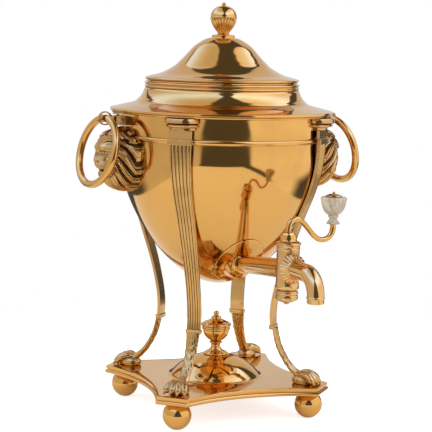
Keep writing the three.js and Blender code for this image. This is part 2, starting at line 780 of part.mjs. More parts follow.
function makePaw() {
  const toeLength = pawWidth * pawShares.toeLength;
  const toeWidth = (pawWidth / toeCount) * toeWidthShare;
  const toeHeight = pawHeight * pawShares.toeHeight;
  const heel = pawReach - pawWidth * pawShares.heel;
  const toes = Array.from({ length: toeCount }, (_, i) => {
    const turn = THREE.MathUtils.degToRad(toeSpread * (i - (toeCount - 1) / 2));
    return ball(toeLength / 2, toeWidth, toeHeight, 0, 0, 0, ...toeSides)
      .translate(pawReach - heel - toeLength / 2, 0, 0)
      .rotateZ(turn)
      .translate(heel, 0, plinthTop + pawHeight * pawShares.toeLift);
  });
  const palm = ball(
    pawWidth * pawShares.palmLength, pawWidth * pawShares.palmWidth, pawHeight,
    heel + pawWidth * pawShares.palmPlace, 0, plinthTop + pawHeight * pawShares.palmLift,
    ...palmSides,
  );
  return join(palm, ...toes);
}

function makeLeg() {
  const collarReach = strapReachAt(collarHeight);
  const collar = block(
    strapThickness + 2 * collarProud,
    strapWaistWidth + 2 * collarProud,
    collarThickness,
    collarReach, 0, collarHeight + collarThickness / 2 - collarProud,
  );
  const band = block(
    strapThickness / 2 + crossProud,
    strapWidthAt(bandBottom) + 2 * crossProud,
    bandHeight,
    strapTopReach + (strapThickness / 2 + crossProud) / 2, 0, bandBottom + bandHeight / 2,
  );
  const floor = block(
    plinthReach * 2, plinthReach * 2, plinthTop, 0, 0, plinthTop + fit - plinthTop / 2,
  );
  const studHole = rod(studRadius + fit, footHeight, plinthTop + studLift + fit, smallSides);
  const screwHole = aim(
    rod(legScrewRadius + fit, 0, strapTopReach, smallSides),
    new THREE.Vector3(0, 0, legScrewHeight),
    new THREE.Vector3(1, 0, 0),
  );
  const whole = join(makeStrap(), makeShank(), makePaw(), collar, band);
  return cut(whole, floor, studHole.translate(footReach, 0, 0), screwHole);
}

// Capital: a rounded abacus over an ovolo, let in round the top of the strap
function makeCapital() {
  const back = bodyRadius - overrun;
  const layer = (width, reach, bottom, height) => {
    const round = width * capitalCornerShare;
    const shape = new THREE.Shape();
    shape.moveTo(back, -width / 2);
    shape.lineTo(reach - round, -width / 2);
    shape.absarc(reach - round, -width / 2 + round, round, -quarterTurn, 0, false);
    shape.absarc(reach - round, width / 2 - round, round, 0, quarterTurn, false);
    shape.lineTo(back, width / 2);
    const settings = { depth: height, bevelEnabled: false, curveSegments: cornerSteps };
    return new THREE.ExtrudeGeometry(shape, settings).translate(0, 0, bottom);
  };
  const abacusBottom = capitalTop - abacusHeight;
  const ovoloBottom = strapTop + fit;
  const middle = (capitalReach + strapTopReach) / 2;
  const abacus = layer(capitalWidth, capitalReach, abacusBottom, abacusHeight);
  const necking = layer(neckingWidth, middle, ovoloBottom, abacusBottom - ovoloBottom + fit);
  const ovolo = layer(
    (neckingWidth + capitalWidth) / 2, (middle + capitalReach) / 2,
    abacusBottom - ovoloHeight / 2, ovoloHeight / 2 + fit,
  );
  return cut(join(abacus, necking, ovolo), bodyTool(fit));
}

// A round-headed screw that enters a piece from inside the vessel, along +X.
function wallScrew(radius, reach, height) {
  const clear = radius * screwClearShare;
  const inside = Math.sqrt((bodyRadius - bodyWall) ** 2 - clear ** 2) - fit - bandProud;
  const outline = [
    ...screwHeadShares.map(([r, h]) => [r * radius, h * radius]),
    [radius, 0], [radius, reach - inside], [0, reach - inside],
  ];
  return aim(
    turned(outline, smallSides),
    new THREE.Vector3(inside, 0, height),
    new THREE.Vector3(1, 0, 0),
  );
}

const ballFoot = makeBallFoot();
const leg = makeLeg();
const capital = makeCapital();
const studBottom = footHeight - studGrip;
const footStud = rod(studRadius, studBottom, plinthTop + studLift, smallSides);
const legScrew = wallScrew(legScrewRadius, strapTopReach - fit, legScrewHeight);
for (const [name, degrees] of corners) {
  const corner = turnedGroup(samovar, degrees);
  place(corner, "ball_foot_" + name, ballFoot, brass()).position.x = footReach;
  place(corner, "foot_stud_" + name, footStud, brass(0.4)).position.x = footReach;
  place(corner, "leg_" + name, leg, castBrass());
  place(corner, "capital_" + name, capital, brass());
  place(corner, "leg_screw_" + name, legScrew, brass(0.4));
}

// Tap: directions and places that the vessel's hole, the pipe and the nut share
const pipeTilt = THREE.MathUtils.degToRad(pipeRise);
const pipeDirection = new THREE.Vector3(0, -Math.cos(pipeTilt), Math.sin(pipeTilt));
const pipeMeets = new THREE.Vector3(0, -barrelReach, pipeHeight);
// Distance from the barrel back along the pipe to the vessel's skin, found by halving.
const pipeLength = (() => {
  let [near, far] = [0, barrelReach];
  for (let i = 0; i < halvings; i++) {
    const middle = (near + far) / 2;
    const point = pipeMeets.clone().addScaledVector(pipeDirection, -middle);
    if (Math.abs(point.y) > bodyReachAt(point.z)) near = middle;
    else far = middle;
  }
  return near;
})();
const bossFront = pipeLength - bossLength; // distance of the boss's front from the barrel's axis
const nutFront = pipeLength + seatReach + fit;
const tailTip = nutFront + backnutThickness + fit;
const pipeAt = (distance) => pipeMeets.clone().addScaledVector(pipeDirection, -distance);
const alongPipe = (geometry, distance) => aim(geometry, pipeAt(distance), pipeDirection);

// Urn body
function makeBody() {
  const inside = bodyRadius - bodyWall;
  const outline = [
    ...bowlOutline(0),
    [bodyRadius, bandBottom],
    ...bandFrontShares.map((share) => [bandReach, bandBottom + bandHeight * share]),
    [bodyRadius, bandBottom + bandHeight],
    [bodyRadius, bodyRim],
    [inside, bodyRim],
    ...bowlOutline(-bodyWall).reverse(),
  ];
  const holes = [
    ...corners.map(([, degrees]) => wallHole(legScrewRadius, legScrewHeight, degrees)),
    ...sides.map(([, degrees]) => wallHole(maskScrewRadius, maskCentre, degrees)),
    ...sides.map(([, degrees]) => wallHole(lugScrewRadius, ringPivotHeight - lugDrop, degrees)),
    alongPipe(rod(tailRadius + fit, -tailTip, -bossFront, midSides), 0),
  ];
  return cut(turned(outline, bigSides), ...holes);
}

place(samovar, "urn_body", makeBody(), brass(0.1));

// Shoulder with its flange and neck
function makeShoulder() {
  const grow = flangeRadius - neckRadius;
  const rise = neckTop - flangeTop;
  const curve = shoulderShares.map(([r, h]) => [neckRadius + r * grow, flangeTop + h * rise]);
  const beads = beadPlaceShares.flatMap((share) => {
    const middle = neckTop - beadHeight * share;
    return arc(neckRadius - beadProud * beadSinkShare, middle, beadProud, -90, 90, beadSteps);
  });
  const skirt = bodyRadius - bodyWall - fit;
  const lip = flangeEdgeShares.map(([inset, h]) => [
    flangeRadius - inset * flangeGroove,
    flangeBottom + h * flangeThickness,
  ]);
  const wallIn = curve
    .filter((_, i) => i % 2 === 1)
    .map(([r, h]) => [r - shoulderWall, h - shoulderWall * shoulderDropShare])
    .reverse();
  const outline = [
    [skirt, flangeBottom - skirtDepth],
    [skirt, flangeBottom],
    ...lip,
    ...curve,
    ...beads,
    [neckRadius - beadProud, neckTop],
    [mouthRadius, neckTop],
    [mouthRadius, flangeTop + rise * neckBoreShare],
    ...wallIn.filter(([r]) => r > mouthRadius + fit && r < skirt - shoulderWall),
    [skirt - shoulderWall, flangeTop - shoulderWall * flangeDropShare],
    [skirt - shoulderWall, flangeBottom - skirtDepth],
  ];
  return turned(outline, bigSides);
}

place(samovar, "shoulder", makeShoulder(), brass(0.12));

// Lid
function makeLid() {
  const grow = brimRadius - finialSeatRadius;
  const rise = lidCrown - lidBrimTop;
  const curve = lidShares.map(([r, h]) => [finialSeatRadius + r * grow, lidBrimTop + h * rise]);
  const skirt = mouthRadius - 2 * fit;
  const [inset, drop] = lidInnerShares.map((share) => share * lidWall);
  const inner = curve
    .filter((_, i) => i % 2 === 1)
    .map(([r, h]) => [r - inset, h - drop])
    .reverse();
  const hole = finialStudRadius + fit;
  const outline = [
    [skirt, lidSeat - lidSkirtDepth],
    [skirt, lidSeat],
    ...brimShares.map(([r, h]) => [brimRadius - r * brimHeight, lidSeat + h * brimHeight]),
    ...curve,
    [finialSeatRadius, lidCrown],
    [hole, lidCrown],
    [hole, lidCrown - lidWall],
    [finialSeatRadius, lidCrown - lidWall],
    ...inner.filter(([r]) => r < skirt - lidSkirtWall && r > finialSeatRadius),
    [skirt - lidSkirtWall, lidSeat],
    [skirt - lidSkirtWall, lidSeat - lidSkirtDepth],
  ];
  return turned(outline, bigSides);
}

place(samovar, "lid", makeLid(), brass(0.12));

// Presses gadroons, the rounded lobes of turned brass, into a turned piece between two heights.
function gadroon(geometry, low, high) {
  const spots = geometry.attributes.position;
  for (let i = 0; i < spots.count; i++) {
    const [x, y, z] = [spots.getX(i), spots.getY(i), spots.getZ(i)];
    if (z < low || z > high) continue;
    const lobe = Math.abs(Math.cos((gadroonCount * Math.atan2(y, x)) / 2));
    const scale = 1 - gadroonDepthShare * (1 - lobe);
    spots.setXY(i, x * scale, y * scale);
  }
  return geometry;
}

// Lid finial, its stud and its nut
function makeFinial() {
  const base = lidCrown + fit;
  const neck = base + finialBase;
  const ballTop = finialTop - buttonHeight;
  const ballHeight = 2 * finialBallRadius * finialShares.ball;
  const ballMiddle = ballTop - ballHeight / 2;
  const neckTopHeight = neck + finialBase * finialShares.neckHeight;
  const belly = arc(0, 0, 1, finialBallStart, finialBallEnd, finialSteps).map(([r, z]) => [
    r * finialBallRadius,
    ballMiddle + (z * ballHeight) / 2,
  ]);
  const stem = belly[0][1];
  const outline = [
    [0, base - finialStudLength],
    [finialStudRadius, base - finialStudLength],
    [finialStudRadius, base],
    [finialSeatRadius - fit, base],
    [finialSeatRadius - fit, neck - finialBase * finialShares.edge],
    [finialNeckRadius * finialShares.flare, neck],
    [finialNeckRadius, neckTopHeight],
    [finialFlareRadius, (neckTopHeight + stem) / 2],
    ...belly,
    ...buttonShares.map(([r, h]) => [r * buttonRadius, ballTop + h * buttonHeight]),
  ];
  return gadroon(turned(outline, gadroonCount * 2), stem + fit, ballMiddle - fit);
}

place(samovar, "lid_finial", closed(makeFinial()), brass(0.14));
const nutTop = lidCrown - lidWall - fit;
const finialNut = hexNut(finialStudRadius + fit, finialNutRadius, nutTop - finialNutHeight, nutTop);
place(samovar, "finial_nut", finialNut, brass(0.4));

// Lion mask: one carved front over a flat back, cut to the vessel's curve
// Depth of the carving at a place in the mask, both as shares: a blunt dome with bumps on it.
function maskDepthShare(across, up) {
  const rim = Math.min(1, Math.hypot(across, up));
  const dome = maskDomeShare * (1 - rim ** maskBluntness) ** 0.5;
  return maskBumpShares.reduce((sum, [y, z, wide, high, rise]) => {
    const away = ((Math.abs(across) - y) / wide) ** 2 + ((up - z) / high) ** 2;
    return sum + rise * Math.exp(-away);
  }, dome);
}

function makeMask() {
  const depth = maskReach - bodyRadius;
  const back = bodyRadius - 2 * overrun;
  const steps = 2 * maneLocks;
  const point = (rimShare, step) => {
    const angle = (2 * Math.PI * step) / steps;
    const notch = step % 2 ? maneNotchShare * rimShare ** maneNotchPower : 0;
    const [across, up] = [Math.cos(angle), Math.sin(angle)].map((v) => v * rimShare * (1 - notch));
    const reach = bodyRadius + depth * maskDepthShare(across, up) * (1 - notch * maneNotchDepthShare);
    return new THREE.Vector3(
      rimShare < 1 ? reach : back,
      (across * maskWidth) / 2,
      maskCentre + (up * maskHeight) / 2,
    );
  };
  const rings = maskRimShares.map((rim) => Array.from({ length: steps }, (_, i) => point(rim, i)));
  const screwHole = aim(
    rod(maskScrewRadius + fit, 0, bodyRadius + depth * maskHoleShare, smallSides),
    new THREE.Vector3(0, 0, maskCentre),
    new THREE.Vector3(1, 0, 0),
  );
  return cut(loft(rings), bodyTool(fit), screwHole, bandTool());
}

// The band moulding grown by the fit, for what is let in over it.
function bandTool() {
  const [low, high] = bandFrontShares.map((share) => bandBottom + bandHeight * share);
  const outline = [
    [0, bandBottom - fit],
    [bodyRadius + fit, bandBottom - fit],
    [bandReach + fit, low - fit],
    [bandReach + fit, high + fit],
    [bodyRadius + fit, bandBottom + bandHeight + fit],
    [0, bandBottom + bandHeight + fit],
  ];
  return turned(outline, bigSides);
}

// Lug: two cheeks on a plate against the vessel, under the flange
const cheekMiddle = ringPivotHeight - lugDrop;
const cheekTop = Math.min(cheekMiddle + cheekHeight / 2, flangeBottom - fit);
function makeLug() {
  const width = eyeLength + 2 * fit + 2 * cheekWall;
  const low = cheekTop - cheekHeight;
  const whole = block(
    cheekReach - bodyRadius + overrun, width, cheekHeight,
    (cheekReach + bodyRadius - overrun) / 2, 0, (cheekTop + low) / 2,
  );
  const slotStart = bodyRadius + lugPlate;
  const slot = block(
    cheekReach - slotStart + overrun, eyeLength + 2 * fit, cheekHeight + overrun,
    (cheekReach + slotStart + overrun) / 2, 0, (cheekTop + low) / 2,
  );
  const rivetHole = aim(
    rod(rivetRadius + fit, -width, width, smallSides),
    new THREE.Vector3(rivetReach, 0, cheekMiddle),
    new THREE.Vector3(0, 1, 0),
  );
  const screwHole = aim(
    rod(lugScrewRadius + fit, 0, bodyRadius + lugPlate + overrun, smallSides),
    new THREE.Vector3(0, 0, cheekMiddle),
    new THREE.Vector3(1, 0, 0),
  );
  return cut(whole, slot, bodyTool(fit), rivetHole, screwHole);
}

// Eye: a loop round the ring's wire with a flat tail between the cheeks
function makeEye() {
  const outer = eyeBore + eyeWall;
  const across = new THREE.Vector3(0, 1, 0);
  const eyeCentre = new THREE.Vector3(ringPivotReach, -eyeLength / 2, ringPivotHeight);
  const loop = aim(rod(outer, 0, eyeLength, midSides), eyeCentre, across);
  const bore = aim(
    rod(eyeBore, -overrun, eyeLength + overrun, midSides), eyeCentre, across,
  );
  const low = cheekTop - fit - tailHeight;
  const tailEnd = bodyRadius + lugPlate + fit;
  const tail = block(
    ringPivotReach - tailEnd, eyeLength, tailHeight,
    (ringPivotReach + tailEnd) / 2, 0, low + tailHeight / 2,
  );
  const rivetHole = aim(
    rod(rivetRadius + fit, -eyeLength, eyeLength, smallSides),
    new THREE.Vector3(rivetReach, 0, cheekMiddle),
    across,
  );
  return cut(join(loop, tail), bore, rivetHole);
}

function makeRivet() {
  const half = eyeLength / 2 + fit + cheekWall + fit;
  const head = arc(0, half, rivetHeadRadius, 0, 90, rivetHeadSteps).map(([r, z]) => [
    r,
    half + ((z - half) * rivetHead) / rivetHeadRadius,
  ]);
  const outline = [
    ...head.map(([r, z]) => [r, -z]).reverse(),
    [rivetRadius, -half],
    [rivetRadius, half],
    ...head,
  ];
  outline[0][0] = 0;
  outline[outline.length - 1][0] = 0;
  return aim(
    turned(outline, smallSides),
    new THREE.Vector3(rivetReach, 0, cheekMiddle),
    new THREE.Vector3(0, 1, 0),
  );
}

// Ring handle, hung at its rest: leaning out and a little twisted in its loose eye
function makeRing() {
  const ring = closed(new THREE.TorusGeometry(ringRadius, ringWire, smallSides, ringSteps));
  return ring
    .rotateY(quarterTurn)
    .translate(0, 0, -ringRadius)
    .rotateY(THREE.MathUtils.degToRad(-ringLean))
    .rotateZ(THREE.MathUtils.degToRad(ringTwist))
    .translate(ringPivotReach, 0, ringPivotHeight);
}

const mask = makeMask();
const lug = makeLug();
const eye = makeEye();
const rivet = makeRivet();
const ring = makeRing();
const maskScrewTip = bodyRadius + (maskReach - bodyRadius) * maskScrewShare;
const maskScrew = wallScrew(maskScrewRadius, maskScrewTip, maskCentre);
const lugScrew = wallScrew(lugScrewRadius, bodyRadius + lugPlate - fit, cheekMiddle);
for (const [name, degrees] of sides) {
  const side = turnedGroup(samovar, degrees);
  place(side, "mask_" + name, mask, castBrass());
  place(side, "mask_screw_" + name, maskScrew, brass(0.4));
  place(side, "handle_lug_" + name, lug, castBrass());
  place(side, "lug_screw_" + name, lugScrew, brass(0.4));
  place(side, "handle_eye_" + name, eye, brass());
  place(side, "eye_rivet_" + name, rivet, brass(0.3));
  place(side, "ring_handle_" + name, ring, brass());
}

// Tap body: pipe, barrel, gadrooned rosette and spout in one casting with its bores
function spoutPath() {
  const start = new THREE.Vector3(0, -barrelReach - barrelRadius * spoutRootShare, spoutHeight);
  const bendStart = -barrelReach - (spoutReach - spoutBend);
  const bendMiddle = spoutHeight - spoutBend;
  const end = new THREE.Vector3(0, -barrelReach - spoutReach, spoutMouthBottom);
  const bend = Array.from({ length: elbowSteps + 1 }, (_, i) => {
    const angle = (quarterTurn * i) / elbowSteps;
    return new THREE.Vector3(
      0,
      bendStart - spoutBend * Math.sin(angle),
      bendMiddle + spoutBend * Math.cos(angle),
    );
  });
  return [start, ...bend, end];
}

// A round bar along a row of points in the tap's middle plane, with mitred bends.
function bar(stops, radiusAt, count) {
  const rings = stops.map((stop, i) => {
    const before = stops[Math.max(0, i - 1)];
    const after = stops[Math.min(stops.length - 1, i + 1)];
    const forward = after.clone().sub(before).normalize();
    const flat = new THREE.Vector3(1, 0, 0);
    if (Math.abs(forward.x) > straightShare) flat.set(0, 1, 0);
    const up = forward.clone().cross(flat).normalize();
    const radius = radiusAt(i / (stops.length - 1));
    return Array.from({ length: count }, (_, k) => {
      const angle = (2 * Math.PI * k) / count;
      return stop
        .clone()
        .addScaledVector(flat, Math.cos(angle) * radius)
        .addScaledVector(up, -Math.sin(angle) * radius);
    });
  });
  return loft(rings);
}

function makeTapBody() {
  const collarBottom = barrelTop - barrelCollar;
  const barrel = turned(
    [
      [0, barrelBottom], [barrelRadius, barrelBottom], [barrelRadius, collarBottom],
      ...collarRoundShares.map((share) => [barrelCollarRadius, collarBottom + barrelCollar * share]),
      [barrelRadius, barrelTop], [0, barrelTop],
    ],
    midSides,
  );
  const pipeEnd = -barrelRadius * pipeSinkShare;
  const pipe = alongPipe(
    turned(
      [
        [0, -tailTip], [tailRadius, -tailTip], [tailRadius, -bossFront],
        [pipeRootRadius, -bossFront], [pipeEndRadius, pipeEnd], [0, pipeEnd],
      ],
      midSides,
    ),
    0,
  );
  const outward = new THREE.Vector3(0, -1, 0);
  const rosetteReach = barrelReach + barrelRadius * rosetteSinkShare;
  const rosetteStart = new THREE.Vector3(0, -rosetteReach, spoutHeight - fit);
  const rosette = aim(
    closed(
      gadroon(
        turned(
          [
            [0, 0], [barrelRadius * rosetteBackShare, 0],
            ...rosetteShares.map(([r, h]) => [r * rosetteRadius, h * rosetteDepth]),
            [spoutRootRadius, rosetteDepth], [0, rosetteDepth],
          ],
          gadroonCount * 2,
        ),
        fit, rosetteDepth - fit,
      ),
    ),
    rosetteStart,
    outward,
  );
  const spout = bar(
    spoutPath(),
    (share) => spoutRootRadius + (spoutRadius - spoutRootRadius) * share,
    smallSides,
  );
  const [waistShare, waistPlaceShare] = mouthWaistShares;
  const [neckShare, neckPlaceShare] = mouthNeckShares;
  const mouthNeck = spoutMouthBottom + mouthRingHeight * neckPlaceShare;
  const mouth = turned(
    [
      [0, spoutMouthBottom], [mouthRingRadius - 3 * fit, spoutMouthBottom],
      [spoutRadius * waistShare, spoutMouthBottom + mouthRingHeight * waistPlaceShare],
      ...mouthRingShares.map((share) => [mouthRingRadius, spoutMouthBottom + mouthRingHeight * share]),
      [spoutRadius * neckShare, mouthNeck],
      [0, mouthNeck],
    ],
    midSides,
  ).translate(0, -barrelReach - spoutReach, 0);
  const plugBore = turned(
    [
      [0, barrelBottom - overrun],
      [plugBottomRadius + fit, barrelBottom - overrun],
      [plugBottomRadius + fit, barrelBottom],
      [plugTopRadius + fit, barrelTop],
      [plugTopRadius + fit, barrelTop + overrun],
      [0, barrelTop + overrun],
    ],
    midSides,
  ).translate(0, -barrelReach, 0);
  const inlet = alongPipe(rod(pipeBore, -tailTip - overrun, 0, smallSides), 0);
  const outlet = bar(
    [
      new THREE.Vector3(0, -barrelReach, spoutHeight),
      ...spoutPath().slice(1, -1),
      new THREE.Vector3(0, -barrelReach - spoutReach, spoutMouthBottom - overrun),
    ],
    () => spoutBore,
    smallSides,
  );
  const whole = join(barrel.translate(0, -barrelReach, 0), pipe, rosette, spout, mouth);
  return cut(whole, plugBore, inlet, outlet);
}

// Boss between the pipe and the vessel, its back cut to the bowl's slope
function makeBoss() {
  const reachBack = bossRootRadius + overrun;
  const [waistShare, waistPlaceShare] = bossWaistShares;
  const horn = alongPipe(
    turned(
      [
        [tailRadius + fit, -pipeLength - reachBack],
        [bossRootRadius, -pipeLength - reachBack],
        [bossRootRadius, -pipeLength - fit],
        [bossFrontRadius * waistShare, -pipeLength + bossLength * waistPlaceShare],
        [bossFrontRadius, -pipeLength + bossLength - fit],
        [tailRadius + fit, -pipeLength + bossLength - fit],
      ],
      midSides,
    ),
    0,
  );
  return cut(horn, bodyTool(2 * fit + plateThickness));
}

// Oval plate between the boss and the bowl, bent to the bowl's curve
function makePlate() {
  const root = pipeAt(pipeLength);
  const [above, below] = [root.z + bodyWall, root.z - bodyWall];
  const slope = (bodyReachAt(above) - bodyReachAt(below)) / (above - below);
  const outward = new THREE.Vector3(0, -1, -slope);
  const oval = rod(1, -bowlDepth / 2, bowlDepth / 2, tapSides);
  const outline = aim(oval.scale(plateWidth / 2, plateHeight / 2, 1), root, outward);
  const sheet = cut(common(outline, bodyTool(fit + plateThickness)), bodyTool(fit));
  return cut(sheet, alongPipe(rod(tailRadius + fit, -tailTip, -bossFront, midSides), 0));
}

// Seat inside the vessel that gives the back nut a face square to the pipe
function makeSeat() {
  const ring = alongPipe(
    tube(tailRadius + fit, seatRadius, -pipeLength - seatReach, -bossFront, midSides),
    0,
  );
  return common(ring, bodyTool(-bodyWall - fit));
}

function makeStrainer() {
  const shape = new THREE.Shape().absarc(0, 0, strainerRadius, 0, 2 * Math.PI, false);
  const out = pipeBore * strainerPlaceShare;
  for (let i = 0; i < strainerHoles; i++) {
    const angle = (2 * Math.PI * i) / strainerHoles;
    const hole = new THREE.Path();
    hole.absarc(Math.cos(angle) * out, Math.sin(angle) * out, strainerHole, 0, 2 * Math.PI, true);
    shape.holes.push(hole);
  }
  const settings = { depth: strainerThickness, bevelEnabled: false, curveSegments: strainerSteps };
  return aim(
    new THREE.ExtrudeGeometry(shape, settings),
    pipeAt(tailTip + fit + strainerThickness),
    pipeDirection,
  );
}

place(samovar, "tap_body", makeTapBody(), castBrass());
place(samovar, "tap_boss", makeBoss(), brass());
place(samovar, "tap_plate", makePlate(), brass(0.12));
place(samovar, "outlet_seat", makeSeat(), castBrass());
const backnut = alongPipe(
  hexNut(tailRadius + fit, backnutRadius, -nutFront - backnutThickness, -nutFront),
  0,
);
place(samovar, "tap_backnut", backnut, brass(0.4));
place(samovar, "outlet_strainer", makeStrainer(), brass(0.4));

// Tap key: everything that turns with the lever, about the barrel's axis
const key = new THREE.Group();
key.position.set(0, -barrelReach, 0);
samovar.add(key);

function makePlug() {
  const slope = (plugTopRadius - plugBottomRadius) / (barrelTop - barrelBottom);
  const foot = barrelBottom + fit;
  const head = barrelTop - fit;
  const studEnd = foot - plugNutHeight * plugStudShare;
  const cone = turned(
    [
      [0, studEnd],
      [plugStudRadius, studEnd],
      [plugStudRadius, foot],
      [plugBottomRadius + slope * fit, foot],
      [plugTopRadius - slope * fit, head],
      [0, head],
    ],
    tapSides,
  );
  const squareHeight = capHeight * keySquareShare;
  const square = block(keySquareWidth, keySquareWidth, squareHeight, 0, 0, head + squareHeight / 2);
  const port = aim(
    rod(plugPort, -barrelRadius, barrelRadius, smallSides),
    new THREE.Vector3(0, 0, pipeHeight),
    new THREE.Vector3(1, 0, 0),
  );
  return cut(join(cone, square), port);
}

function makePlugNut() {
  const top = barrelBottom - 2 * fit - plugWasherThickness;
  const low = top - plugNutHeight;
  const boreEnd = top - plugNutHeight * plugNutBoreShare;
  const outline = [
    [plugStudRadius + fit, top],
    [plugStudRadius + fit, boreEnd],
    [0, boreEnd],
    [0, plugNutTip],
    ...plugNutTipShares.map(([r, h]) => [r * plugNutRadius, plugNutTip + h * (low - plugNutTip)]),
    ...plugNutRingShares.map(([r, h]) => [r * plugNutRadius, low + h * plugNutHeight]),
  ];
  return turned(outline, midSides);
}

// Lever: a bell cap over the barrel and an S-curved arm of round bar, in one casting
function makeLever() {
  const base = barrelTop + 3 * fit;
  const top = base + capHeight;
  const bell = [
    [0, base],
    ...bellShares.map(([r, h]) => [r * capRadius, base + h * capHeight]),
    [capTopRadius, top],
    [0, top],
  ];
  const rise = leverArch - leverDip;
  const stops = leverShares.map(
    ([along, up]) => new THREE.Vector3(along * leverLength, 0, leverDip + up * rise),
  );
  stops[0].z = top - capHeight * leverRootShare;
  stops[stops.length - 1].z = leverEnd - fit;
  const arm = bar(stops, () => leverRadius, smallSides);
  const socketWidth = keySquareWidth + 2 * fit;
  const socket = block(socketWidth, socketWidth, capHeight, 0, 0, barrelTop);
  const pinHoleEnd = leverEnd - capHeight * pinHoleShare;
  const pinHole = rod(knobBore + fit, pinHoleEnd, leverEnd + overrun, smallSides);
  return cut(join(turned(bell, midSides), arm), socket, pinHole.translate(leverLength, 0, 0));
}

function makeKnob() {
  const outer = knobShares.map(([r, h]) => [r * knobCupRadius, leverEnd + h * knobHeight]);
  const bore = knobBore + fit;
  return turned([[bore, leverEnd], ...outer, [bore, leverEnd + knobHeight]], midSides);
}

// Brass cap on the knob, with the long pin that holds the knob to the lever
function makeKnobCap() {
  const seat = leverEnd + knobHeight + fit;
  const pinEnd = seat - knobHeight - leverRadius;
  const outline = [
    [0, pinEnd], [knobBore, pinEnd], [knobBore, seat],
    ...knobCapShares.map(([r, h]) => [r * knobCapRadius, seat + h * knobCapHeight]),
  ];
  return turned(outline, smallSides);
}

place(key, "tap_plug", makePlug(), castBrass());
const washerBottom = barrelBottom - fit - plugWasherThickness;
place(
  key, "plug_washer",
  tube(plugStudRadius + fit, plugWasherRadius, washerBottom, barrelBottom - fit, midSides),
  brass(0.4),
);
place(key, "plug_nut", makePlugNut(), brass());
place(key, "tap_lever", makeLever(), brass());
place(key, "lever_knob", makeKnob().translate(leverLength, 0, 0), bone());
place(key, "knob_cap", makeKnobCap().translate(leverLength, 0, 0), brass());

// Spirit burner, standing loose on the plinth's dome
const burner = new THREE.Group();
burner.position.z = burnerSeat + fit;
samovar.add(burner);

function makeBurnerBowl() {
  const bowlRise = burnerRim - burnerStemHeight;
  const bowl = burnerBowlShares.map(([r, h]) => [
    r * burnerBowlRadius,
    burnerStemHeight + h * bowlRise,
  ]);
  const inner = bowl
    .slice(1)
    .map(([r, h]) => [r - burnerWall, h + burnerWall * burnerInnerShare])
    .reverse();
  const outline = [
    [0, 0],
    ...burnerFootShares.map(([r, h]) => [r * burnerFootRadius, h * burnerFootHeight]),
    ...burnerStemShares.map(([r, h]) => [r * burnerStemRadius, h * burnerStemHeight]),
    ...bowl,
    [burnerBowlRadius, burnerRim],
    [burnerBowlRadius - burnerWall, burnerRim],
    ...inner,
    [0, burnerStemHeight + bowlRise * burnerFloorShare],
  ];
  return turned(outline, midSides);
}

// Disc that closes the bowl, with the tube that holds the wick
function makeBurnerTop() {
  const seat = burnerRim + fit;
  const inner = wickTubeRadius - wickTubeWall;
  const plug = burnerBowlRadius - burnerWall - fit;
  return turned(
    [
      [inner, seat - burnerDiscThickness * 2], [plug, seat - burnerDiscThickness * 2],
      [plug, seat], [burnerBowlRadius, seat], [burnerBowlRadius, seat + burnerDiscThickness],
      [wickTubeRadius, seat + burnerDiscThickness],
      [wickTubeRadius, seat + burnerDiscThickness + wickTubeHeight],
      [inner, seat + burnerDiscThickness + wickTubeHeight],
    ],
    midSides,
  );
}

function makeBurnerCap() {
  const seat = burnerRim + 2 * fit + burnerDiscThickness;
  const outer = burnerCapShares.map(([r, h]) => [
    r * burnerBowlRadius,
    seat + burnerBeadHeight + h * burnerCapRise,
  ]);
  const thick = burnerWall * burnerCapInnerShare;
  const inner = outer.map(([r, h]) => [r - thick, h - thick]).reverse();
  const top = seat + burnerBeadHeight + burnerCapRise;
  const knob = top + burnerKnobHeight * burnerKnobShares.middle;
  const knobArc = arc(0, knob, burnerKnobRadius, burnerKnobStart, 90, burnerKnobSteps);
  const outline = [
    [burnerBowlRadius - burnerWall, seat],
    ...burnerBeadShares.map(([r, h]) => [r * burnerBowlRadius, seat + h * burnerBeadHeight]),
    ...outer,
    [burnerKnobRadius * burnerKnobShares.neck, top + burnerKnobHeight * burnerKnobShares.neckHeight],
    ...knobArc.slice(0, -1),
    [0, knob + burnerKnobRadius],
    [0, top - burnerWall],
    ...inner.filter(([r, h]) => r > 0 && h < top - burnerWall),
  ];
  return turned(outline, midSides);
}

place(burner, "burner_bowl", makeBurnerBowl(), brass());
place(burner, "burner_top", makeBurnerTop(), brass());
const wickTop = burnerRim + fit + burnerDiscThickness + wickTubeHeight + 3 * fit;
const wick = rod(wickRadius, wickTop - wickLength, wickTop, smallSides);
place(burner, "burner_wick", wick, cotton());
place(burner, "burner_cap", makeBurnerCap(), brass());

export default samovar;
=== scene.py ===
# A polished brass tea urn with a spirit burner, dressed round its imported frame.
# Lengths are in millimetres in the dictionaries and become metres where a mesh is made.
# The urn's axis is Z, the tap points to -Y, and the ring handles are on +X and -X.
import json
import math

import bmesh
import bpy
import numpy as np
from mathutils import Matrix, Vector


